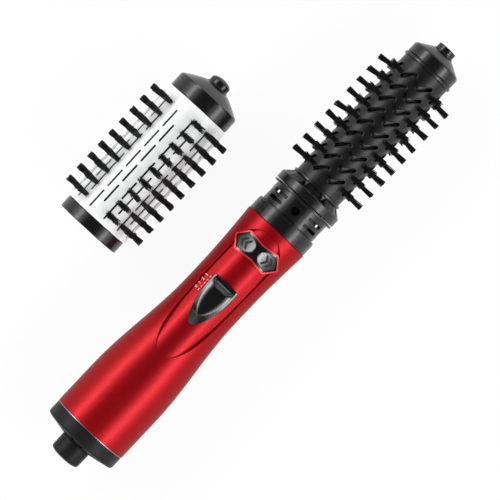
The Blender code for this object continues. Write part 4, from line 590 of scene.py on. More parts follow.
def capsule(long, wide, sides=6, parts=1):
    """Outline of a slot with round ends, along z, its straight sides in a number of parts."""
    radius = wide / 2
    offset = long / 2 - radius
    half = [(radius, z) for z in spaced(-offset, offset, parts)[1:-1]]
    for angle in spaced(0, math.pi, sides):
        half.append((radius * math.cos(angle), offset + radius * math.sin(angle)))
    return half + [(-x, -z) for x, z in half]


def grown(outline, margin):
    """Outline moved outwards by a margin on every side, for an outline that runs anticlockwise."""
    moved = []
    for index, point in enumerate(outline):
        here = Vector(point)
        before = (here - Vector(outline[index - 1])).normalized()
        after = (Vector(outline[(index + 1) % len(outline)]) - here).normalized()
        normal = Vector((before.y, -before.x))
        mean = (normal + Vector((after.y, -after.x))).normalized()
        moved.append(tuple(here + mean * margin / mean.dot(normal)))
    return moved


def rounded(outline, radius, steps=4):
    """Outline with all its corners rounded."""
    return [tuple(point) for point in softened([(x, z, radius) for x, z in outline], steps)]


def carve(bm, cutter):
    """Cut a mesh by another."""
    solids = []
    for source in (bm, cutter):
        mesh = bpy.data.meshes.new("solid")
        source.to_mesh(mesh)
        source.free()
        solid = bpy.data.objects.new("solid", mesh)
        bpy.context.scene.collection.objects.link(solid)
        solids.append(solid)
    modifier = solids[0].modifiers.new("carve", "BOOLEAN")
    modifier.operation = "DIFFERENCE"
    modifier.solver = "EXACT"
    modifier.object = solids[1]
    graph = bpy.context.evaluated_depsgraph_get()
    mesh = bpy.data.meshes.new_from_object(solids[0].evaluated_get(graph), depsgraph=graph)
    result = bmesh.new()
    result.from_mesh(mesh)
    for old in [mesh] + [solid.data for solid in solids]:
        bpy.data.meshes.remove(old)
    return result


def raised_copy(bm):
    """Extrude all faces of a flat mesh, and give the vertices of the copy."""
    made = bmesh.ops.extrude_face_region(bm, geom=bm.faces[:])["geom"]
    return {item for item in made if isinstance(item, bmesh.types.BMVert)}


def plate(outline, top, bottom, step):
    """Solid between two curved faces, sliced so that it follows them."""
    bm = bmesh.new()
    bm.faces.new([bm.verts.new((x, 0, z)) for x, z in outline])
    for axis, normal in ((0, (1, 0, 0)), (1, (0, 0, 1))):
        low = min(point[axis] for point in outline)
        high = max(point[axis] for point in outline)
        for value in spaced(low, high, max(2, round((high - low) / step)))[1:-1]:
            geom = bm.verts[:] + bm.edges[:] + bm.faces[:]
            bmesh.ops.bisect_plane(bm, geom=geom, plane_co=Vector(normal) * value, plane_no=normal)
    bmesh.ops.remove_doubles(bm, verts=bm.verts, dist=PLATE_WELD)
    raised = raised_copy(bm)
    for vert in bm.verts:
        vert.co.y = (top if vert in raised else bottom)(vert.co.x, vert.co.z)
    bmesh.ops.recalc_face_normals(bm, faces=bm.faces)
    return bm


def join(target, bm):
    """Add a mesh to another and free it."""
    mesh = bpy.data.meshes.new("part")
    bm.to_mesh(mesh)
    bm.free()
    target.from_mesh(mesh)
    bpy.data.meshes.remove(mesh)


def round_rim(bm, offset):
    """Round the edges where upright walls meet a top."""
    bm.normal_update()
    rim = []
    for edge in bm.edges:
        heights = sorted(face.normal.y for face in edge.link_faces)
        if len(heights) == 2 and abs(heights[0]) < 0.3 and heights[1] > 0.5:
            rim.append(edge)
    bmesh.ops.bevel(bm, geom=rim, offset=offset, affect="EDGES", segments=3, profile=0.5, material=-1,
                    clamp_overlap=True)
    return bm


def put(name, bm, material, body, nodes=(), place=STYLER, sharp=SMOOTH_ANGLE):
    """Finished piece in the shared frame, riding on its body and standing for its nodes."""
    bm.transform(place)
    mesh = bpy.data.meshes.new(name)
    bm.to_mesh(mesh)
    bm.free()
    mesh.shade_smooth()
    mesh.set_sharp_from_angle(angle=sharp)
    mesh.materials.append(material)
    piece = bpy.data.objects.new(name, mesh)
    bpy.context.scene.collection.objects.link(piece)
    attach(piece, body)
    if nodes:
        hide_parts(*nodes)
    return piece


def put_moulding(node, bm, body, look="black_plastic", place=STYLER):
    """Black moulding that stands for one node."""
    put(node + "_moulding", bm, finish(look), body, [node], place)


# Finishes


def add_node(tree, kind, inputs, **settings):
    """New shader node with its settings, and a value or a link on each input given."""
    node = tree.nodes.new("ShaderNode" + kind)
    for name, value in settings.items():
        setattr(node, name, value)
    for key, value in inputs.items():
        if isinstance(value, bpy.types.NodeSocket):
            tree.links.new(value, node.inputs[key])
        else:
            node.inputs[key].default_value = value
    return node


def shader_of(name, base, roughness, metallic=0.0):
    """New material with its node tree and Principled shader."""
    material = bpy.data.materials.new(name)
    material.use_nodes = True
    shader = material.node_tree.nodes["Principled BSDF"]
    shader.inputs["Base Color"].default_value = (*base, 1.0)
    shader.inputs["Roughness"].default_value = roughness
    shader.inputs["Metallic"].default_value = metallic
    return material, material.node_tree, shader


def object_coords(tree):
    """Object coordinates."""
    return add_node(tree, "TexCoord", {}).outputs["Object"]


def noise(tree, scale, detail=2.0, stretch=None):
    """Noise texture on object coordinates, stretched along the axes where asked."""
    source = object_coords(tree)
    if stretch:
        source = add_node(tree, "Mapping", {"Vector": source, "Scale": stretch}).outputs["Vector"]
    return add_node(tree, "TexNoise", {"Vector": source, "Scale": scale, "Detail": detail}).outputs["Fac"]


def ranged(tree, source, low, high):
    """Map a texture's middle range onto a range of values."""
    inputs = {"Value": source, "From Min": 0.3, "From Max": 0.7, "To Min": low, "To Max": high}
    return add_node(tree, "MapRange", inputs).outputs["Result"]


def bump(tree, shader, source, strength, distance):
    """Fine relief from a texture."""
    node = add_node(tree, "Bump", {"Height": source, "Strength": strength, "Distance": distance})
    tree.links.new(node.outputs["Normal"], shader.inputs["Normal"])


def blend_colours(tree, shader, source, dark, light):
    """Base colour that runs between two tones by a texture."""
    inputs = {"Factor": source, "A": (*dark, 1.0), "B": (*light, 1.0)}
    node = add_node(tree, "Mix", inputs, data_type="RGBA")
    tree.links.new(node.outputs["Result"], shader.inputs["Base Color"])


def vary_roughness(tree, shader, source, low, high):
    """Roughness that runs between two values by a texture."""
    tree.links.new(ranged(tree, source, low, high), shader.inputs["Roughness"])


def shade(base, factor):
    """Colour made darker or lighter by a factor."""
    return tuple(min(1.0, channel * factor) for channel in base)


def red_lacquer(name, base):
    """Metallic red lacquer with fine flakes under a clear coat."""
    material, tree, shader = shader_of(name, base, 0.38, 0.6)
    shader.inputs["Specular IOR Level"].default_value = 0.08
    shader.inputs["Specular Tint"].default_value = (0.4, 0.1, 0.1, 1.0)
    shader.inputs["Coat Weight"].default_value = 0.18
    shader.inputs["Coat Roughness"].default_value = 0.3
    flakes = noise(tree, 5200, 1.0)
    blend_colours(tree, shader, ranged(tree, flakes, 0, 1), shade(base, 0.82), shade(base, 1.2))
    vary_roughness(tree, shader, noise(tree, 240), 0.35, 0.41)
    bump(tree, shader, flakes, 0.05, 0.00005)
    return material


def moulded_plastic(name, base, roughness, grain, relief, specular=0.5, spread=0.02, mottle=0.08):
    """Moulded plastic with a fine grain and slightly uneven gloss."""
    material, tree, shader = shader_of(name, base, roughness)
    shader.inputs["Specular IOR Level"].default_value = specular
    broad = ranged(tree, noise(tree, 160), 0, 1)
    blend_colours(tree, shader, broad, shade(base, 1 - mottle), shade(base, 1 + mottle))
    vary_roughness(tree, shader, noise(tree, 420), roughness - spread, roughness + spread)
    bump(tree, shader, noise(tree, grain, 3.0), relief, 0.00006)
    return material


def metal(name, base, roughness):
    """Drawn or turned metal with fine lines along the handle."""
    material, tree, shader = shader_of(name, base, roughness, 1.0)
    lines = noise(tree, 900, 3.0, (0.05, 1, 1))
    blend_colours(tree, shader, ranged(tree, lines, 0, 1), shade(base, 0.85), shade(base, 1.1))
    vary_roughness(tree, shader, lines, roughness - 0.06, roughness + 0.08)
    bump(tree, shader, lines, 0.12, 0.00003)
    return material


def smoked_plating(name, base):
    """Silver plating with painted light: a painted highlight near the middle line that fades into painted
    shade towards the buttons' outer points.
    """
    material, tree, shader = shader_of(name, base, 0.26, 1.0)
    split = add_node(tree, "SeparateXYZ", {"Vector": object_coords(tree)})
    across = add_node(tree, "Math", {0: split.outputs["Y"], 1: STYLER.translation.y}, operation="SUBTRACT")
    away = add_node(tree, "Math", {0: across.outputs["Value"]}, operation="ABSOLUTE")
    inputs = {"Value": away.outputs["Value"], "From Min": 0.0025, "From Max": 0.0090}
    painted_fade = add_node(tree, "MapRange", inputs, interpolation_type="SMOOTHSTEP")
    # Painted light: base colour lightened near the middle line as a painted highlight and darkened towards
    # the points as painted shade.
    blend_colours(tree, shader, painted_fade.outputs["Result"], shade(base, 1.6), shade(base, 0.3))
    vary_roughness(tree, shader, noise(tree, 500), 0.26, 0.29)
    return material


def bristle_nylon(name, base):
    """Black nylon bristles with a soft gloss."""
    material, tree, shader = shader_of(name, base, 0.5)
    shader.inputs["Specular IOR Level"].default_value = 0.25
    blend_colours(tree, shader, ranged(tree, noise(tree, 700), 0, 1), shade(base, 0.6), shade(base, 1.9))
    vary_roughness(tree, shader, noise(tree, 1500), 0.45, 0.58)
    return material


def mica_sheet(name, base):
    """Flaky mica board."""
    material, tree, shader = shader_of(name, base, 0.6)
    flakes = ranged(tree, noise(tree, 500, 4.0, (1, 1, 0.3)), 0, 1)
    blend_colours(tree, shader, flakes, shade(base, 0.7), shade(base, 1.3))
    bump(tree, shader, noise(tree, 1200, 4.0), 0.2, 0.0001)
    return material


def masked_board(name, base):
    """Green solder mask with faint tracks under it."""
    material, tree, shader = shader_of(name, base, 0.35)
    inputs = {"Vector": object_coords(tree), "Scale": 140, "Distortion": 0.6}
    tracks = add_node(tree, "TexWave", inputs, wave_type="BANDS", bands_direction="Y")
    blend_colours(tree, shader, tracks.outputs["Fac"], shade(base, 0.7), shade(base, 1.5))
    return material


# For each finish: its maker, the material's name, its colour and what else the maker takes
MAKERS = {
    "red_lacquer": (red_lacquer, "flaked_red_lacquer", "red"),
    # Same red lacquer in a lighter tone, a painted highlight on the bezel lip.
    "bright_red": (red_lacquer, "bright_red_lacquer", "bright_red"),
    "black_plastic": (moulded_plastic, "grained_black_plastic", "black", 0.22, 5200, 0.06, 0.42),
    "barrel_black": (moulded_plastic, "satin_black_plastic", "black", 0.36, 5200, 0.10, 0.3),
    "gloss_black": (moulded_plastic, "gloss_black_plastic", "gloss", 0.18, 2600, 0.02, 1.0),
    "cap_black": (moulded_plastic, "matt_black_plastic", "matt", 0.45, 4200, 0.10, 0.16),
    "white_enamel": (moulded_plastic, "satin_white_plastic", "white", 0.34, 3600, 0.06, 0.5, 0.05, 0.03),
    "print_white": (moulded_plastic, "white_print", "print_white", 0.5, 4200, 0.05, 0.5, 0.05, 0.03),
    # Plating with painted highlight and painted shade across the buttons.
    "dark_silver": (smoked_plating, "smoked_silver_plating", "silver"),
    "bristle_nylon": (bristle_nylon, "bristle_nylon", "bristle"),
    "steel": (metal, "drawn_steel", "steel", 0.28),
    # Dark metal, partly painted shade for what shows through the slots and holes.
    "dark_metal": (metal, "dark_tube_metal", "dark_metal", 0.45),
    "brass": (metal, "turned_brass", "brass", 0.3),
    "plated_can": (metal, "plated_can", "grey", 0.34),
    "mica_sheet": (mica_sheet, "mica_sheet", "mica"),
    "masked_board": (masked_board, "masked_board", "board"),
}
FINISHES = {}


def finish(name):
    """Material of a finish, made at its first use."""
    if name not in FINISHES:
        maker, material_name, colour_name, *values = MAKERS[name]
        base = getattr(bpy.context.scene.styler_colours, colour_name)
        FINISHES[name] = maker(material_name, base, *values)
    return FINISHES[name]


# Shape of the handle


def shell_radius(z):
    """Outer radius of the handle at a station along the axis."""
    sizes = bpy.context.scene.styler_handle
    waist_radius = sizes.waist_radius
    shoulder = SHELL_REAR + sizes.shoulder_start
    waist = SHELL_FRONT - sizes.waist_span
    flare = SHELL_FRONT - sizes.flare_length
    if z <= shoulder:
        return sizes.rear_radius
    if z < waist:
        share = (z - shoulder) / (waist - shoulder)
        return waist_radius + (sizes.rear_radius - waist_radius) * (1 + math.cos(math.pi * share)) / 2
    if z <= flare:
        return waist_radius
    share = (z - flare) / (SHELL_FRONT - flare)
    return waist_radius + (sizes.mouth_radius - waist_radius) * share ** FLARE_POWER


def panel_half_width(along):
    """Half width of the thumb panel at a distance from its point."""
    sizes = bpy.context.scene.styler_handle
    width = sizes.panel_half * math.sqrt(1 - math.exp(-along / sizes.panel_taper))
    into_nose = along - (sizes.panel_length - sizes.panel_nose)
    if into_nose > 0:
        width *= math.sqrt(max(0.0, 1 - (into_nose / sizes.panel_nose) ** 2))
    return width


def panel_ridge(along):
    """Height of the thumb panel's floor above the axis, on its middle line."""
    sizes = bpy.context.scene.styler_handle
    level = sizes.waist_radius - sizes.panel_sink
    if along < PANEL_LEVEL_START:
        share = (PANEL_LEVEL_START - along) / PANEL_LEVEL_START
        return level + (shell_radius(SHELL_FRONT - sizes.panel_span) - level) * share ** PANEL_RISE_POWER
    if along > PANEL_LEVEL_END:
        share = (along - PANEL_LEVEL_END) / (sizes.panel_length - PANEL_LEVEL_END)
        return level + PANEL_NOSE_RISE * share ** 2
    return level


def panel_floor(x, z):
    """Height of the thumb panel's floor, crowned in the middle with straight flanks."""
    sizes = bpy.context.scene.styler_handle
    crown = sizes.panel_crown
    bend = crown * math.sin(FLANK_SLOPE)
    round_part = min(abs(x), bend)
    fall = (abs(x) - round_part) * math.tan(FLANK_SLOPE)
    ridge = panel_ridge(z - SHELL_FRONT + sizes.panel_span)
    return ridge - crown + math.sqrt(crown ** 2 - round_part ** 2) - fall


def panel_cutter():
    """Solid above the thumb panel's floor."""
    sizes = bpy.context.scene.styler_handle
    rear = SHELL_FRONT - sizes.panel_span
    taper_end = sizes.panel_length - sizes.panel_nose
    stations = [taper_end * share ** 2.2 for share in spaced(0.03, 1, 44)]
    for share in spaced(0, 0.97, 16)[1:]:
        stations.append(taper_end + sizes.panel_nose * math.sin(share * math.pi / 2))
    loops = []
    for along in stations:
        half = panel_half_width(along)
        over = half + (FAR - panel_floor(half, rear + along)) * math.tan(WALL_LEAN)
        loop = [Vector((-over, FAR, rear + along))]
        loop += [Vector((x, panel_floor(x, rear + along), rear + along)) for x in spaced(-half, half, 28)]
        loop.append(Vector((over, FAR, rear + along)))
        loops.append(loop)
    return swept(loops)


def half_shell(side):
    """One half of the handle's turned wall."""
    sizes = bpy.context.scene.styler_handle
    stations = spaced(SHELL_REAR, SHELL_FRONT, 84)
    outside = [(shell_radius(z), z) for z in stations]
    outside[0] = (*outside[0], EDGE)
    outside[-1] = (*outside[-1], EDGE)
    inside = [(shell_radius(z) - sizes.wall, z) for z in reversed(stations[::4])]
    bm = spun(softened(outside + inside), HALF_STEPS, math.pi)
    if side < 0:
        bmesh.ops.rotate(bm, verts=bm.verts, cent=(0, 0, 0), matrix=Matrix.Rotation(math.pi, 3, "Z"))
    bmesh.ops.translate(bm, verts=bm.verts, vec=(0, side * PARTING, 0))
    return bm


def bezel_outline():
    """Bow-tie outline round the two direction buttons."""
    sizes = bpy.context.scene.styler_controls
    right = [(0.0, -sizes.bezel_waist), (sizes.bezel_corner, -sizes.bezel_half), (sizes.bezel_reach, 0.0),
             (sizes.bezel_corner, sizes.bezel_half)]
    outline = right + [(-x, -z) for x, z in right]
    return [(x, BUTTONS_AT + z) for x, z in outline]


def button_outline(side):
    """Outline of one direction button, rounded at the middle and pointed outside."""
    sizes = bpy.context.scene.styler_controls
    reach = sizes.bezel_reach - sizes.button_rim
    half = sizes.bezel_half - sizes.button_rim
    inner = sizes.button_inner
    corner = sizes.bezel_corner
    belly = [(inner + (corner - inner) * (1 - math.cos(angle)), -half * math.sin(angle) ** 0.8)
             for angle in spaced(0, math.pi / 2, 8)]
    outline = belly + [(reach, 0.0)] + [(x, -z) for x, z in reversed(belly[1:])]
    if side < 0:
        outline = [(-x, z) for x, z in reversed(outline)]
    return [(x, BUTTONS_AT + z) for x, z in outline]


# Shape of the heads


def socket_profile(bore, rear, depth):
    """Inner corners of a head's base, from its bore to the socket for the drive hub."""
    return [(bore, rear + SOCKET_END), (PASSAGE_RADIUS, rear + SOCKET_END), (PASSAGE_RADIUS, rear + depth),
            (SOCKET_RADIUS, rear + depth)]


def add_keyways(cuts, rear):
    """Add the cutters for the keyways of a head's socket."""
    for around in turns(KEYWAYS):
        brick((-KEYWAY_HALF_WIDTH, KEYWAY_INNER, rear - KEYWAY_LEAD),
              (KEYWAY_HALF_WIDTH, KEYWAY_OUTER, rear + KEYWAY_DEPTH), cuts, around)


def tuft_stations(sizes, rear, front):
    """Stations of the tufts along a barrel."""
    return spaced(rear + sizes.first_tuft, front - sizes.last_tuft, sizes.tufts - 1)


def add_strand(bm, root, tip, radii):
    """Add one straight bristle, with its radii at the root and at the tip."""
    along = tip - root
    turn_to = along.to_track_quat("Z", "Y").to_matrix().to_4x4()
    place = Matrix.Translation((root + tip) / 2) @ turn_to
    bmesh.ops.create_cone(bm, cap_ends=True, segments=4, radius1=radii[0], radius2=radii[1],
                          depth=along.length, matrix=place)


# Operators


class StylerOperator:
    """What the operators of this file share."""

    bl_options = {"REGISTER", "UNDO"}


class STYLER_OT_handle_shells(StylerOperator, bpy.types.Operator):
    """Make the two red shells, with the sunk thumb panel in the front one"""

    bl_idname = "styler.handle_shells"
    bl_label = "Handle shells"

    def execute(self, context):
        red = finish("red_lacquer")
        front = carve(half_shell(1), panel_cutter())
        window = prism(rounded(grown(bezel_outline(), FINE_SEAM), EDGE), WINDOW_LOW, FAR)
        front = carve(front, window)
        put("front_shell_skin", front, red, "handle", ["front_shell"], sharp=CREASE_ANGLE)
        holes = bmesh.new()
        for index in (1, 2):
            centre = STYLER.inverted() @ middle(f"shell_screw_{index}")
            prism(circle(SCREW_HOLE_RADIUS, 32, (centre.x, centre.z)), -FAR, -SCREW_HOLE_END, holes)
        back = carve(half_shell(-1), holes)
        put("back_shell_skin", back, red, "handle", ["back_shell"])
        return {"FINISHED"}


class STYLER_OT_rear_cap(StylerOperator, bpy.types.Operator):
    """Make the slotted rear cap, the bright line ahead of it and the cord gland"""

    bl_idname = "styler.rear_cap"
    bl_label = "Rear cap and gland"

    def execute(self, context):
        sizes = context.scene.styler_handle
        radius = sizes.cap_radius
        inner = radius - CAP_WALL
        seat = sizes.gland_radius + SEAM
        front = SHELL_REAR - SEAM
        rear = front - sizes.cap_band
        cap = spun(softened([
            (CAP_HOLE, CAP_REAR), (seat, CAP_REAR, EDGE), (radius, rear, 0.0014), (radius, front, 0.0003),
            (inner, front), (inner, rear + CAP_WALL), (seat, CAP_REAR + CAP_WALL),
            (CAP_HOLE, CAP_REAR + CAP_WALL)]))
        slots = bmesh.new()
        for around in turns(INTAKE_SLOTS, 0.5):
            brick((-INTAKE_HALF_WIDTH, INTAKE_INNER, CAP_REAR - CAP_WALL),
                  (INTAKE_HALF_WIDTH, INTAKE_OUTER, SHELL_REAR), slots, around)
        put_moulding("rear_cap", carve(cap, slots), "handle", "cap_black")
        line = sleeve(inner, radius - FINE_SEAM, front, SHELL_REAR)
        put("rear_trim_line", line, finish("plated_can"), "handle", ())
        self.gland(sizes)
        return {"FINISHED"}

    def gland(self, sizes):
        """Rounded nub with the bore for the lead, and the neck that turns in the cap."""
        radius = sizes.gland_radius
        bore = sizes.cord_bore
        end = GLAND_REAR + radius + GLAND_LEAD
        neck_front = end + GLAND_NECK_LENGTH
        gland = spun(softened([
            (bore, GLAND_REAR + 0.0004, 0.0003), (radius * 0.55, GLAND_REAR, 0.0010),
            (radius - 0.0002, GLAND_REAR + 0.0012, 0.0016), (radius, end, 0.0003),
            (GLAND_NECK, end), (GLAND_NECK, neck_front), (bore, neck_front)]))
        put_moulding("cord_gland", gland, "gland", "cap_black")


class STYLER_OT_mouth(StylerOperator, bpy.types.Operator):
    """Make the black front ring and the slotted collar at the handle's mouth"""

    bl_idname = "styler.mouth"
    bl_label = "Front ring and collar"

    def execute(self, context):
        sizes = context.scene.styler_handle
        radius = sizes.ring_radius
        stepped = radius - RING_STEP
        rear = SHELL_FRONT + 0.00005
        sleeve_rear = rear - SLEEVE_LENGTH
        groove = RING_FRONT - RING_GROOVE
        ring = spun(softened([
            (RING_BORE, sleeve_rear), (RING_SLEEVE, sleeve_rear), (RING_SLEEVE, rear), (radius, rear, 0.0005),
            (radius, groove, 0.0002), (stepped, groove + 0.0002), (stepped, RING_FRONT, 0.0003),
            (RING_BORE, RING_FRONT)]))
        put_moulding("front_ring", ring, "handle")

        outer = sizes.collar_radius
        flange = sizes.flange_radius
        chamber = outer - COLLAR_WALL
        rear = RING_FRONT + 0.0002
        sleeve_rear = rear - SLEEVE_LENGTH
        web = rear + COLLAR_WEB
        front = FLANGE_FRONT - FLANGE_LENGTH
        collar = spun(softened([
            (COLLAR_BORE, sleeve_rear), (COLLAR_SLEEVE, sleeve_rear), (COLLAR_SLEEVE, rear),
            (outer, rear, 0.0003), (outer, front, EDGE), (flange, front, EDGE), (flange, FLANGE_FRONT, EDGE),
            (chamber, FLANGE_FRONT), (chamber, web), (COLLAR_BORE, web)]))
        put_moulding("collar", carve(collar, self.openings()), "handle")
        return {"FINISHED"}

    def openings(self):
        """Cutters for four round holes round the collar, and for two slots between each pair of holes."""
        cuts = bmesh.new()
        hole = circle(COLLAR_HOLE_RADIUS, 32, (0, RING_FRONT + COLLAR_HOLE_AT))
        half = COLLAR_SLOT_HALF_WIDTH
        corners = [(COLLAR_CUT_INNER, -half), (COLLAR_CUT_OUTER, -half), (COLLAR_CUT_OUTER, half),
                   (COLLAR_CUT_INNER, half)]
        for quarter in spaced(0, 3 * math.pi / 2, 3):
            prism(hole, COLLAR_CUT_INNER, COLLAR_CUT_OUTER, cuts, about_axis(quarter))
            between = quarter + math.pi / 4
            for along in COLLAR_SLOTS_AT:
                loops = []
                for angle in spaced(between - COLLAR_SLOT_SWEEP, between + COLLAR_SLOT_SWEEP, 8):
                    loops.append([about_axis(angle) @ Vector((0, radius, RING_FRONT + along + z))
                                  for radius, z in corners])
                swept(loops, cuts)
        return cuts


class STYLER_OT_slider(StylerOperator, bpy.types.Operator):
    """Make the shield-shaped slider with its thumb dish"""

    bl_idname = "styler.slider"
    bl_label = "Slider"

    def execute(self, context):
        sizes = context.scene.styler_controls
        stations = spaced(SLIDER_REAR + SEAM, DISH_REAR, 10) + spaced(DISH_REAR, DISH_DEEPEST, 26)[1:]
        stations += spaced(DISH_DEEPEST, DISH_FRONT, 7)[1:]
        stations += spaced(DISH_FRONT, SLIDER_FRONT - SLIDER_EDGE, 2)[1:]
        loops = [self.section(sizes, z) for z in stations]
        loops.append(self.section(sizes, SLIDER_FRONT, SLIDER_EDGE))
        slider = swept(loops)
        if slider.calc_volume(signed=True) < 0:
            bmesh.ops.reverse_faces(slider, faces=slider.faces)
        put("slider_moulding", slider, finish("gloss_black"), "slider", ["switch_slider"],
            sharp=CREASE_ANGLE)
        return {"FINISHED"}

    def share(self, along, shoulder):
        """Share of the full width at a distance from the point."""
        along = min(max(along, 0.0), shoulder)
        return (1 - (1 - along / shoulder) ** 2) ** 0.6

    def section(self, sizes, z, drop=0.0):
        """Cross-section of the slider: under side along the panel, leaning flanks, frame and dished top."""
        half = sizes.slider_half * self.share(z - SLIDER_REAR, SLIDER_SHOULDER)
        rise = min(1.0, SLIDER_POINT_RISE + (1 - SLIDER_POINT_RISE) * (z - SLIDER_REAR) / SLIDER_RISE_LENGTH)
        crest = panel_floor(0, z) + SEAM + sizes.slider_height * rise - drop

        def top(x):
            return crest - SLIDER_CROWN + math.sqrt(SLIDER_CROWN ** 2 - x ** 2)

        frame_half = half * FRAME_SHARE
        dish_half = sizes.dish_half * self.share(z - DISH_REAR, SLIDER_SHOULDER - DISH_SETBACK)
        dish_half = min(max(DISH_LEAST, dish_half), frame_half - DISH_LEAST)
        sink = sizes.dish_depth * share_between(z, DISH_REAR, DISH_DEEPEST) ** 0.6
        into_front = share_between(z, DISH_DEEPEST, DISH_FRONT)
        flat = max(0.00005, dish_half * 0.96 * into_front)
        foot = panel_floor(half, z) + SEAM
        side = [(half, foot), (half, foot + SLIDER_SKIRT * rise), (half * 0.97, top(half) - EDGE * rise),
                (frame_half, top(frame_half)), (dish_half, top(dish_half))]
        for part in DISH_PARTS:
            x = dish_half + (flat - dish_half) * part
            depth = DISH_STEP + (1 - DISH_STEP) * math.sin(min(part / DISH_FLANK, 1.0) * math.pi / 2)
            sunk = top(dish_half) - sink * depth
            side.append((x, sunk + (top(x) - sunk) * into_front))
        under = [(x, panel_floor(x, z) + SEAM) for x in spaced(-half, half, 10)[1:-1]]
        outline = side + [(-x, y) for x, y in reversed(side)] + under
        bow = SLIDER_BOW * share_between(z, DISH_DEEPEST, SLIDER_FRONT)
        return [Vector((x, y, z - bow * (x / sizes.slider_half) ** 2)) for x, y in outline]


class STYLER_OT_buttons(StylerOperator, bpy.types.Operator):
    """Make the bezel, its red lip and the two direction buttons with their arrows"""

    bl_idname = "styler.buttons"
    bl_label = "Direction buttons"

    def execute(self, context):
        outline = bezel_outline()
        lip_outline = rounded(grown(outline, LIP_WIDTH), 0.0012)
        lip = plate(lip_outline, self.over(LIP_TOP), self.over(LIP_FOOT), PLATE_SLICE)
        lip = round_rim(carve(lip, prism(rounded(outline, 0.0008), 0, FAR)), EDGE)
        # The lip takes the lighter copy of the red lacquer, a painted highlight along it.
        put("bezel_lip", lip, finish("bright_red"), "handle", ())
        bezel_edge = rounded(grown(outline, -FINE_SEAM), 0.0009)
        bezel = plate(bezel_edge, self.over(BEZEL_TOP), self.over(BEZEL_FOOT), PLATE_SLICE)
        wells = bmesh.new()
        for side in (1, -1):
            prism(grown(button_outline(side), BUTTON_GAP), 0, FAR, wells)
        bezel = round_rim(carve(bezel, wells), 0.0002)
        put("bezel_moulding", bezel, finish("gloss_black"), "handle", ["button_bezel"])
        for name, body, side in (("left_button", "left_key", 1), ("right_button", "right_key", -1)):
            key = plate(button_outline(side), self.dished(0.0), self.over(BUTTON_FOOT), BUTTON_SLICE)
            # The caps' plating carries painted light: a highlight at their inner ends and shade at their
            # points.
            put(name + "_cap", round_rim(key, EDGE), finish("dark_silver"), body, [name])
            arrows = bmesh.new()
            for reach in ARROW_POINTS:
                outline = self.chevron(side, reach)
                join(arrows, plate(outline, self.dished(ARROW_TOP), self.dished(ARROW_FOOT), ARROW_SLICE))
            put(name + "_arrows", arrows, finish("cap_black"), body, ())
        return {"FINISHED"}

    def over(self, height):
        """Round surface at a height from the bezel's radius."""
        radius = bpy.context.scene.styler_controls.bezel_radius + height
        return lambda x, z: math.sqrt(radius ** 2 - x ** 2)

    def dished(self, height):
        """Surface at a height from the buttons' top, which falls outwards and rolls over to the point."""
        sizes = bpy.context.scene.styler_controls
        crest = sizes.bezel_radius + BUTTON_TOP
        full = sizes.bezel_reach - sizes.button_rim - sizes.button_inner - BUTTON_RAMP
        gentle = math.tan(BUTTON_GENTLE)
        steep = math.tan(BUTTON_STEEP)

        def surface(x, z):
            along = abs(x) - sizes.button_inner
            rolled = max(0.0, along - BUTTON_RAMP)
            return crest - (gentle * along + (steep - gentle) * rolled ** 2 / (2 * full)) + height

        return surface

    def chevron(self, side, reach):
        """Outline of one arrow, pointing outwards."""
        wing = ARROW_WING
        back = reach - wing * 0.75
        points = [(back, -wing), (reach, 0.0), (back, wing), (back - ARROW_STROKE, wing),
                  (reach - ARROW_STROKE * 1.5, 0.0), (back - ARROW_STROKE, -wing)]
        return [(side * x, BUTTONS_AT + z) for x, z in points]


class STYLER_OT_marks(StylerOperator, bpy.types.Operator):
    """Print the slider's step numbers and ticks on the thumb panel"""

    bl_idname = "styler.marks"
    bl_label = "Step marks"

    def execute(self, context):
        marks = bmesh.new()
        for index in range(DIGITS):
            z = SLIDER_REAR + DIGIT_START + DIGIT_PITCH * index
            join(marks, self.digit(context, str(index), z))
        for index in range(TICKS):
            rear = SLIDER_REAR + TICK_START + TICK_PITCH * index
            front = rear + TICK_LENGTH
            tick = [(TICK_INNER, rear), (TICK_OUTER, rear), (TICK_OUTER, front), (TICK_INNER, front)]
            join(marks, plate(tick, self.top, self.foot, TICK_SLICE))
        put("step_marks", marks, finish("print_white"), "handle", ())
        return {"FINISHED"}

    def top(self, x, z):
        """Top of the print on the panel's floor."""
        return panel_floor(x, z) + PRINT_HEIGHT

    def foot(self, x, z):
        """Under side of the print."""
        return self.top(x, z) - PRINT_DEPTH

    def digit(self, context, text, z):
        """Mesh of one digit laid on the panel, reading from the tip towards the handle."""
        curve = bpy.data.curves.new("digit", "FONT")
        curve.body = text
        curve.size = DIGIT_SIZE
        curve.align_x = "CENTER"
        curve.resolution_u = 3
        item = bpy.data.objects.new("digit", curve)
        context.scene.collection.objects.link(item)
        graph = context.evaluated_depsgraph_get()
        mesh = bpy.data.meshes.new_from_object(item.evaluated_get(graph), depsgraph=graph)
        bm = bmesh.new()
        bm.from_mesh(mesh)
        bpy.data.objects.remove(item)
        bpy.data.meshes.remove(mesh)
        bmesh.ops.remove_doubles(bm, verts=bm.verts, dist=WELD)
        raised = raised_copy(bm)
        for vert in bm.verts:
            across = DIGIT_ACROSS + vert.co.y
            along = z + vert.co.x
            level = self.top if vert in raised else self.foot
            vert.co = (across, level(across, along), along)
        bmesh.ops.recalc_face_normals(bm, faces=bm.faces)
        return bm


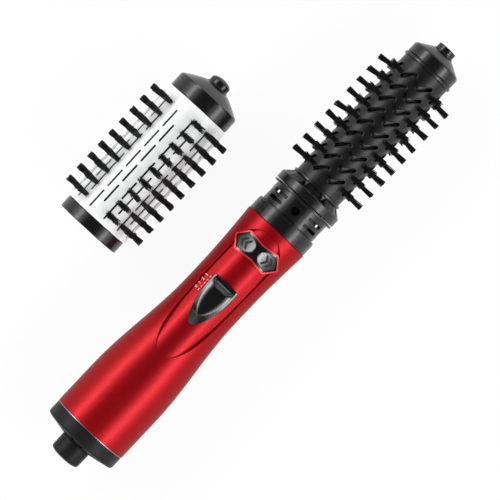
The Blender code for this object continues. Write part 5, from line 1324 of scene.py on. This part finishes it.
class STYLER_OT_head(StylerOperator, bpy.types.Operator):
    """Make the fitted head's base, slotted barrel, end ring, end cap and knob"""

    bl_idname = "styler.head"
    bl_label = "Fitted head"

    def execute(self, context):
        sizes = context.scene.styler_head
        self.base(sizes)
        self.barrel(sizes)
        self.end(sizes)
        self.knob(sizes)
        return {"FINISHED"}

    def base(self, sizes):
        """Flange, vented cone and lip of the base, with the socket for the drive hub."""
        flange = sizes.flange_radius
        lip = sizes.lip_radius
        cone_rear = HEAD_REAR + sizes.flange_length
        lip_front = BARREL_REAR - 0.0002
        lip_rear = lip_front - sizes.lip_length
        spigot_front = lip_front + SPIGOT_LENGTH
        profile = softened([
            (SOCKET_RADIUS, HEAD_REAR), (flange, HEAD_REAR, EDGE), (flange, cone_rear - FLANGE_BEVEL, EDGE),
            (flange - FLANGE_BEVEL, cone_rear, 0.0003), (sizes.cone_radius, lip_rear, 0.0003),
            (lip, lip_rear, EDGE), (lip, lip_front, EDGE), (HEAD_SPIGOT, lip_front),
            (HEAD_SPIGOT, spigot_front), (HEAD_BORE, spigot_front),
            *socket_profile(HEAD_BORE, HEAD_REAR, HEAD_SOCKET_DEPTH)])
        cuts = bmesh.new()
        for around in turns(HEAD_VENTS, 0.5):
            brick((-HEAD_VENT_HALF_WIDTH, HEAD_VENT_INNER, cone_rear - HEAD_VENT_LEAD),
                  (HEAD_VENT_HALF_WIDTH, HEAD_VENT_OUTER, lip_rear - SEAM), cuts, around)
        add_keyways(cuts, HEAD_REAR)
        put_moulding("head_base", carve(spun(profile), cuts), "brush_head")

    def barrel(self, sizes):
        """Barrel with rimmed air slots that lean and a socket under each tuft, over a dark sleeve that is
        painted shade inside the slots.
        """
        radius = sizes.barrel_radius
        bore = radius - sizes.barrel_wall
        step = 2 * math.pi / sizes.rows
        stations = tuft_stations(sizes, BARREL_REAR, BARREL_FRONT)
        slot, foot, crest = [capsule(sizes.slot_length + margin, sizes.slot_width + margin, 6, 8)
                             for margin in (0.0, SLOT_FOOT, SLOT_CREST)]
        cut_levels = [(slot, bore - 0.0004), (slot, radius + CUT_OVER)]
        rim_levels = [(foot, radius - 0.0004), (foot, radius + 0.0001), (crest, radius + 0.0003)]
        cuts = bmesh.new()
        rims = bmesh.new()
        lean = Matrix.Rotation(sizes.slot_tilt, 2)
        for row in range(sizes.rows):
            between = (row + 0.5) * step
            for z in stations:
                for target, levels in ((cuts, cut_levels), (rims, rim_levels)):
                    loops = []
                    for outline, reach in levels:
                        loops.append([self.wrapped(lean @ Vector(point), reach, between, z + SLOT_LEAD)
                                      for point in outline])
                    swept(loops, target)
        rims = carve(rims, cuts.copy())
        upright = Matrix.Rotation(-math.pi / 2, 4, "X")
        for row in range(sizes.rows):
            for z in stations:
                place = about_axis(row * step) @ Matrix.Translation((0, radius + 0.0001, z))
                bmesh.ops.create_cone(rims, cap_ends=True, segments=16, radius1=TUFT_SOCKET_FOOT,
                                      radius2=TUFT_SOCKET_TOP, depth=TUFT_SOCKET_HEIGHT,
                                      matrix=place @ upright)
        barrel = carve(sleeve(bore, radius, BARREL_REAR, BARREL_FRONT, 128), cuts)
        join(barrel, rims)
        put_moulding("head_barrel", barrel, "brush_head", "barrel_black")
        # Dark sleeve inside the heat tube: painted shade that keeps the slots dark inside.
        shade_sleeve = sleeve(SHADE_SLEEVE_RADIUS - SHADE_SLEEVE_WALL, SHADE_SLEEVE_RADIUS, BARREL_REAR + SHADE_SLEEVE_MARGIN,
                       BARREL_FRONT - SHADE_SLEEVE_MARGIN, 64)
        put("head_gauze", shade_sleeve, finish("dark_metal"), "brush_head", ())

    def wrapped(self, point, reach, angle, z):
        """Point of a flat outline, wrapped round the barrel."""
        around = about_axis(angle - point.x / bpy.context.scene.styler_head.barrel_radius)
        return around @ Vector((0, reach, z + point.y))

    def end(self, sizes):
        """End ring, and the end cap with its band and cone."""
        ring = sizes.ring_radius
        rear = BARREL_FRONT + SEAM
        profile = softened([(END_RING_BORE, rear), (ring, rear, 0.0007), (ring, END_RING_FRONT, 0.0007),
                            (END_RING_BORE, END_RING_FRONT)])
        put_moulding("end_ring", spun(profile), "brush_head")
        band = sizes.band_radius
        neck = sizes.neck_radius
        rear = END_RING_FRONT + SEAM
        spigot_rear = rear - END_SPIGOT_LENGTH
        band_front = rear + BAND_LENGTH
        profile = softened([
            (HEAD_BORE, spigot_rear), (END_SPIGOT, spigot_rear), (END_SPIGOT, rear), (band, rear, 0.0006),
            (band, band_front, 0.0012), (neck + 0.0012, END_CAP_FRONT - 0.0005, 0.0012),
            (neck, END_CAP_FRONT, 0.0003), (STEM_BORE, END_CAP_FRONT), (STEM_BORE, END_CAP_FRONT - NOSE_WALL),
            (HEAD_BORE, band_front)])
        put_moulding("end_cap", spun(profile), "brush_head")

    def knob(self, sizes):
        """Knob with a bead at its foot and a shallow hollow in its end."""
        knob = sizes.knob_radius
        bead = knob + 0.0006
        rear = END_CAP_FRONT + SEAM
        seat = rear - 0.0002
        front = KNOB_FRONT - 0.0001
        hollow = KNOB_FRONT - 0.0005
        profile = softened([
            (0.0, rear - STEM_LENGTH), (STEM_RADIUS, rear - STEM_LENGTH), (STEM_RADIUS, seat),
            (bead, seat, 0.0002), (bead, rear + 0.0004, 0.0003), (knob - 0.0001, rear + 0.0007, 0.0002),
            (knob - 0.0002, front, 0.0005), (0.0030, front, 0.0002), (0.0028, hollow, 0.0002), (0.0, hollow)])
        put_moulding("tip_knob", spun(profile, closed=False), "brush_head")


class STYLER_OT_head_tufts(StylerOperator, bpy.types.Operator):
    """Grow the fitted head's tufts"""

    bl_idname = "styler.head_tufts"
    bl_label = "Fitted head's tufts"

    def execute(self, context):
        sizes = context.scene.styler_head
        nylon = finish("bristle_nylon")
        dice = random.Random(SEED)
        for row in range(sizes.rows):
            tufts = bmesh.new()
            for place, z in enumerate(tuft_stations(sizes, BARREL_REAR, BARREL_FRONT)):
                worn = WORN_REACH * place / (sizes.tufts - 1) if row == WORN_ROW else 0.0
                lean = Vector((dice.gauss(0, HEAD_TUFT_LEAN), 0, dice.gauss(-worn, HEAD_TUFT_LEAN)))
                join(tufts, self.tuft(sizes, dice, z, lean))
            tufts.transform(about_axis(2 * math.pi * row / sizes.rows))
            put(f"head_tufts_{row + 1}", tufts, nylon, "brush_head", [f"bristle_strip_{row + 1}"])
        return {"FINISHED"}

    def tuft(self, sizes, dice, z, lean):
        """One round tuft, a little wider at its tip."""
        bm = bmesh.new()
        for index in range(sizes.strands):
            share = math.sqrt((index + 0.5) / sizes.strands)
            angle = GOLDEN_TURN * index + dice.uniform(-0.2, 0.2)
            out = Vector((math.cos(angle), 0, math.sin(angle))) * share
            root = Vector((0, sizes.barrel_radius - TUFT_DEPTH, z)) + out * HEAD_TUFT_ROOT
            height = sizes.tip_radius - dice.uniform(0.0, HEAD_TUFT_UNEVEN)
            height -= HEAD_TUFT_ROUNDING * share * dice.random()
            tip = Vector((0, height, z)) + out * HEAD_TUFT_TIP + lean
            tip += Vector((dice.gauss(0, STRAND_JITTER), 0, dice.gauss(0, STRAND_JITTER)))
            add_strand(bm, root, tip, HEAD_STRAND)
        return bm


class STYLER_OT_spare(StylerOperator, bpy.types.Operator):
    """Make the second head's base, slitted white barrel, cap and knob"""

    bl_idname = "styler.spare"
    bl_label = "Second head"

    def execute(self, context):
        sizes = context.scene.styler_spare
        self.base(sizes)
        self.barrel(sizes)
        self.cap(sizes)
        self.knob(sizes)
        return {"FINISHED"}

    def base(self, sizes):
        """Black base with the socket for the drive hub."""
        radius = sizes.base_radius
        front = SPARE_BARREL_REAR - SEAM
        spigot_front = front + SPIGOT_LENGTH
        profile = softened([
            (SOCKET_RADIUS, 0.0, 0.0002), (radius, 0.0, 0.0007), (radius, front, 0.0005),
            (SPARE_SPIGOT, front), (SPARE_SPIGOT, spigot_front), (SPARE_BORE, spigot_front),
            *socket_profile(SPARE_BORE, 0.0, SPARE_SOCKET_DEPTH)])
        cuts = bmesh.new()
        add_keyways(cuts, 0.0)
        put_moulding("spare_base", carve(spun(profile), cuts), "spare_head", place=SPARE)

    def barrel(self, sizes):
        """White barrel with slits on both sides of each row, over a black sleeve that is painted shade inside
        the slits.
        """
        radius = sizes.barrel_radius
        bore = radius - SPARE_SKIN
        tube = spun(softened([
            (bore, SPARE_BARREL_REAR), (radius, SPARE_BARREL_REAR, 0.0002),
            (radius, SPARE_BARREL_FRONT, 0.0002), (bore, SPARE_BARREL_FRONT)]), 144)
        cuts = bmesh.new()
        outline = capsule(sizes.slit_length, sizes.slit_width, 4)
        for position in range(sizes.positions):
            row = sizes.first_row + 2 * math.pi * position / sizes.positions
            for side, stagger in ((-1, 0.0), (1, 0.5)):
                around = about_axis(row + side * SLIT_ANGLE)
                start = SPARE_BARREL_REAR + SLIT_MARGIN + stagger * sizes.slit_pitch
                while start + sizes.slit_length < SPARE_BARREL_FRONT - SLIT_MARGIN:
                    place = around @ Matrix.Translation((0, 0, start + sizes.slit_length / 2))
                    prism(outline, bore - 0.001, radius + CUT_OVER, cuts, place)
                    start += sizes.slit_pitch
        put("spare_barrel_skin", carve(tube, cuts), finish("white_enamel"), "spare_head", ["spare_barrel"],
            SPARE)
        # Black sleeve just under the thin skin: painted shade that makes the slits look dark inside.
        outer = bore - FINE_SEAM
        slit_shade_sleeve = sleeve(outer - SPARE_SHADE_SLEEVE_WALL, outer, SPARE_BARREL_REAR + FINE_SEAM,
                        SPARE_BARREL_FRONT - FINE_SEAM)
        put("spare_lining", slit_shade_sleeve, finish("cap_black"), "spare_head", (), SPARE)

    def cap(self, sizes):
        """Cap with a band and a convex nose."""
        band = sizes.band_radius
        neck = sizes.neck_radius
        rear = SPARE_BARREL_FRONT + SEAM
        spigot_rear = rear - SPIGOT_LENGTH
        band_front = rear + sizes.band_length
        taper = SPARE_CAP_FRONT - band_front
        nose = [(neck + (band - neck) * (1 - share) ** 0.82, band_front + taper * share)
                for share in spaced(0.05, 1, 16)]
        profile = softened([
            (SPARE_BORE, spigot_rear), (SPARE_SPIGOT, spigot_rear), (SPARE_SPIGOT, rear),
            (band, rear, 0.0006), (band, band_front, 0.0008)])
        profile += nose + [(STEM_BORE, SPARE_CAP_FRONT), (STEM_BORE, SPARE_CAP_FRONT - NOSE_WALL),
                           (SPARE_BORE, band_front)]
        put_moulding("spare_cap", spun(profile), "spare_head", place=SPARE)

    def knob(self, sizes):
        """Domed knob with a flared foot."""
        knob = sizes.knob_radius
        rear = SPARE_CAP_FRONT + SEAM
        seat = rear - SEAM
        long = SPARE_KNOB_FRONT - rear
        foot = [(knob * 1.14 - knob * 0.16 * math.sin(angle), seat + long * 0.34 * (1 - math.cos(angle)))
                for angle in spaced(0, math.pi / 2, 6)]
        dome = [(knob * math.cos(angle), rear + long * 0.45 + long * 0.55 * math.sin(angle))
                for angle in spaced(0, math.pi / 2, 10)]
        stem = [(0.0, rear - STEM_LENGTH), (STEM_RADIUS, rear - STEM_LENGTH), (STEM_RADIUS, seat)]
        put_moulding("spare_knob", spun(stem + foot + dome, closed=False), "spare_head", place=SPARE)


class STYLER_OT_spare_tufts(StylerOperator, bpy.types.Operator):
    """Grow the second head's fan-shaped tufts"""

    bl_idname = "styler.spare_tufts"
    bl_label = "Second head's tufts"

    def execute(self, context):
        sizes = context.scene.styler_spare
        nylon = finish("bristle_nylon")
        dice = random.Random(SEED + 1)
        step = 2 * math.pi / sizes.positions
        per_panel = sizes.positions // sizes.panels
        floor = FINE_SEAM - SPARE.translation.z
        for panel in range(sizes.panels):
            tufts = bmesh.new()
            for row in range(per_panel - 1):
                angle = sizes.first_row + (panel * per_panel + row) * step
                for z in tuft_stations(sizes, SPARE_BARREL_REAR, SPARE_BARREL_FRONT):
                    tuft = self.tuft(sizes, dice, z)
                    tuft.transform(about_axis(angle))
                    for vert in tuft.verts:
                        vert.co.y = max(vert.co.y, floor)
                    join(tufts, tuft)
            put(f"spare_tufts_{panel + 1}", tufts, nylon, "spare_head", [f"spare_bristles_{panel + 1}"],
                SPARE)
        return {"FINISHED"}

    def tuft(self, sizes, dice, z):
        """One tuft, narrow at its root and fanned out at its rounded tip."""
        bm = bmesh.new()
        for index in range(sizes.strands):
            part = 2 * (index + 0.5) / sizes.strands - 1
            deep = dice.uniform(-1, 1)
            root = Vector((part * FAN_ROOT, sizes.barrel_radius - TUFT_DEPTH, z + deep * FAN_ROOT_DEPTH))
            height = sizes.tip_radius - FAN_ROUNDING * part ** 2 - dice.uniform(0, FAN_UNEVEN)
            round_end = math.sqrt(1 - 0.5 * part ** 4)
            across = part * FAN_TIP + dice.gauss(0, FAN_JITTER)
            tip = Vector((across, height, z + deep * FAN_TIP_DEPTH * round_end))
            tip.z += dice.gauss(0, STRAND_JITTER)
            add_strand(bm, root, tip, FAN_STRAND)
        return bm


INNER_FINISHES = {
    "steel": ("shell_screw_1", "shell_screw_2", "gland_clip", "intake_screen", "drive_shaft", "hub_screw",
              "heater_coil"),
    # Tubes darkened past bare steel so the slots and holes show dark: partly painted shade.
    "dark_metal": ("heater_sleeve", "heat_tube", "spare_tube"),
    "black_plastic": ("fan_impeller", "motor_bracket", "gear_plate", "drive_gear", "bearing_spider",
                      "drive_hub"),
    "plated_can": ("fan_motor", "gear_motor", "slide_switch", "left_tact_switch", "right_tact_switch"),
    "brass": ("motor_pinion", "rear_bush", "front_bush", "thermostat"),
    "mica_sheet": ("heater_frame",),
    "masked_board": ("control_board",),
}


class STYLER_OT_inner_finishes(StylerOperator, bpy.types.Operator):
    """Give the pieces inside, and what shows through the slots, their finishes"""

    bl_idname = "styler.inner_finishes"
    bl_label = "Inner finishes"

    def execute(self, context):
        for name, nodes in INNER_FINISHES.items():
            material = finish(name)
            for node in nodes:
                for slot in frame["nodes"][node].material_slots:
                    slot.material = material
        return {"FINISHED"}


class STYLER_OT_stage(StylerOperator, bpy.types.Operator):
    """Set up the floor, the soft lamps, the sky and the camera"""

    bl_idname = "styler.stage"
    bl_label = "Stage"

    def execute(self, context):
        settings = context.scene.styler_stage
        self.floor(settings)
        self.lamps(settings)
        self.sky(settings)
        self.camera(context, settings)
        context.scene.view_settings.view_transform = "Standard"
        return {"FINISHED"}

    def floor(self, settings):
        """Pale floor that sweeps up into a round backdrop and keeps the object's shadow."""
        bm = spun(softened([(0.0, FLOOR_LEVEL), (FLOOR_RADIUS, FLOOR_LEVEL, BACKDROP_SWEEP),
                            (BACKDROP_RADIUS, BACKDROP_HEIGHT)]), 64, closed=False)
        bm.normal_update()
        if min(bm.faces, key=lambda face: face.calc_center_median().length).normal.z < 0:
            bmesh.ops.reverse_faces(bm, faces=bm.faces)
        mesh = bpy.data.meshes.new("floor")
        bm.to_mesh(mesh)
        bm.free()
        material, tree, shader = shader_of("floor_paper", settings.floor, 0.9)
        mottle = ranged(tree, noise(tree, 6), 0, 1)
        blend_colours(tree, shader, mottle, shade(settings.floor, 0.99), settings.floor)
        shader.inputs["Specular IOR Level"].default_value = 0.0
        self.seen_white(tree, shader)
        mesh.materials.append(material)
        floor = bpy.data.objects.new("floor", mesh)
        bpy.context.scene.collection.objects.link(floor)

    def seen_white(self, tree, shader):
        """Let the floor look white to the eye and in reflections, and keep part of its shadow."""
        glow = add_node(tree, "Emission", {"Color": WHITE, "Strength": 1.0})
        rays = add_node(tree, "LightPath", {})
        seen = rays.outputs["Is Camera Ray"]
        for kind in ("Is Glossy Ray", "Is Transmission Ray"):
            either = add_node(tree, "Math", {0: seen, 1: rays.outputs[kind]}, operation="MAXIMUM")
            seen = either.outputs["Value"]
        share = add_node(tree, "Math", {0: seen, 1: FLOOR_GLOW}, operation="MULTIPLY")
        inputs = {"Fac": share.outputs["Value"], 1: shader.outputs["BSDF"], 2: glow.outputs["Emission"]}
        mix = add_node(tree, "MixShader", inputs)
        tree.links.new(mix.outputs["Shader"], tree.nodes["Material Output"].inputs["Surface"])

    def lamps(self, settings):
        """Strip lamps on both sides, each with a wide soft one behind it, and a small one to the rear."""
        lamps = [("small", (0.25, 0.25), (-0.40, 0.0, 0.48), settings.small_power)]
        for side in (1, -1):
            lamps.append(("strip", (1.1, 0.16), (0.0, side * 0.52, 0.39), settings.strip_power))
            lamps.append(("wing", (1.1, 0.56), (0.0, side * 0.546, 0.41), settings.wing_power))
        for name, size, offset, power in lamps:
            light = bpy.data.lights.new(name, "AREA")
            light.shape = "RECTANGLE"
            light.size = size[0]
            light.size_y = size[1]
            light.energy = power
            lamp = bpy.data.objects.new(name, light)
            lamp.location = AIM + Vector(offset)
            lamp.rotation_euler = (-Vector(offset)).to_track_quat("-Z", "Y").to_euler()
            bpy.context.scene.collection.objects.link(lamp)

    def sky(self, settings):
        """Even white sky, dimmer overhead."""
        world = bpy.data.worlds.new("studio_sky")
        bpy.context.scene.world = world
        world.use_nodes = True
        tree = world.node_tree
        background = tree.nodes["Background"]
        background.inputs["Color"].default_value = WHITE
        coords = add_node(tree, "TexCoord", {})
        split = add_node(tree, "SeparateXYZ", {"Vector": coords.outputs["Generated"]})
        inputs = {"Value": split.outputs["Z"], "To Min": settings.sky, "To Max": settings.sky * ZENITH_SHARE}
        height = add_node(tree, "MapRange", inputs)
        tree.links.new(height.outputs["Result"], background.inputs["Strength"])

    def camera(self, context, settings):
        """Camera straight above, turned as the photograph is."""
        data = bpy.data.cameras.new("camera")
        data.lens = data.sensor_width * settings.distance / settings.width
        camera = bpy.data.objects.new("camera", data)
        camera.location = (CAMERA_X, CAMERA_Y, settings.distance + STYLER.translation.z)
        camera.rotation_euler = (0, 0, -settings.heading)
        context.scene.collection.objects.link(camera)
        context.scene.camera = camera


class STYLER_PT_pieces(bpy.types.Panel):
    """Lists what can be built"""

    bl_idname = "STYLER_PT_pieces"
    bl_label = "Styling brush"
    bl_space_type = "VIEW_3D"
    bl_region_type = "UI"
    bl_category = "Styler"

    def draw(self, context):
        for operator in OPERATORS:
            self.layout.operator(operator.bl_idname)
        for name in GROUPS:
            box = self.layout.box()
            group = getattr(context.scene, name)
            for key in group.__annotations__:
                box.prop(group, key)


GROUPS = {
    "styler_handle": HandleSizes,
    "styler_controls": ControlSizes,
    "styler_head": HeadSizes,
    "styler_spare": SpareSizes,
    "styler_colours": FinishColours,
    "styler_stage": StageSettings,
}
OPERATORS = (
    STYLER_OT_stage,
    STYLER_OT_handle_shells,
    STYLER_OT_rear_cap,
    STYLER_OT_mouth,
    STYLER_OT_slider,
    STYLER_OT_buttons,
    STYLER_OT_marks,
    STYLER_OT_head,
    STYLER_OT_head_tufts,
    STYLER_OT_spare,
    STYLER_OT_spare_tufts,
    STYLER_OT_inner_finishes,
)


def register():
    """Register the classes and hang the settings on the scene."""
    for name, group in GROUPS.items():
        bpy.utils.register_class(group)
        setattr(bpy.types.Scene, name, PointerProperty(type=group))
    for item in OPERATORS + (STYLER_PT_pieces,):
        bpy.utils.register_class(item)


def unregister():
    """Undo register."""
    for item in reversed(OPERATORS + (STYLER_PT_pieces,)):
        bpy.utils.unregister_class(item)
    for name, group in reversed(GROUPS.items()):
        delattr(bpy.types.Scene, name)
        bpy.utils.unregister_class(group)


def main():
    """Register the classes, then build everything in order."""
    register()
    for operator in OPERATORS:
        area, name = operator.bl_idname.split(".")
        getattr(getattr(bpy.ops, area), name)()


if __name__ == "__main__":
    main()
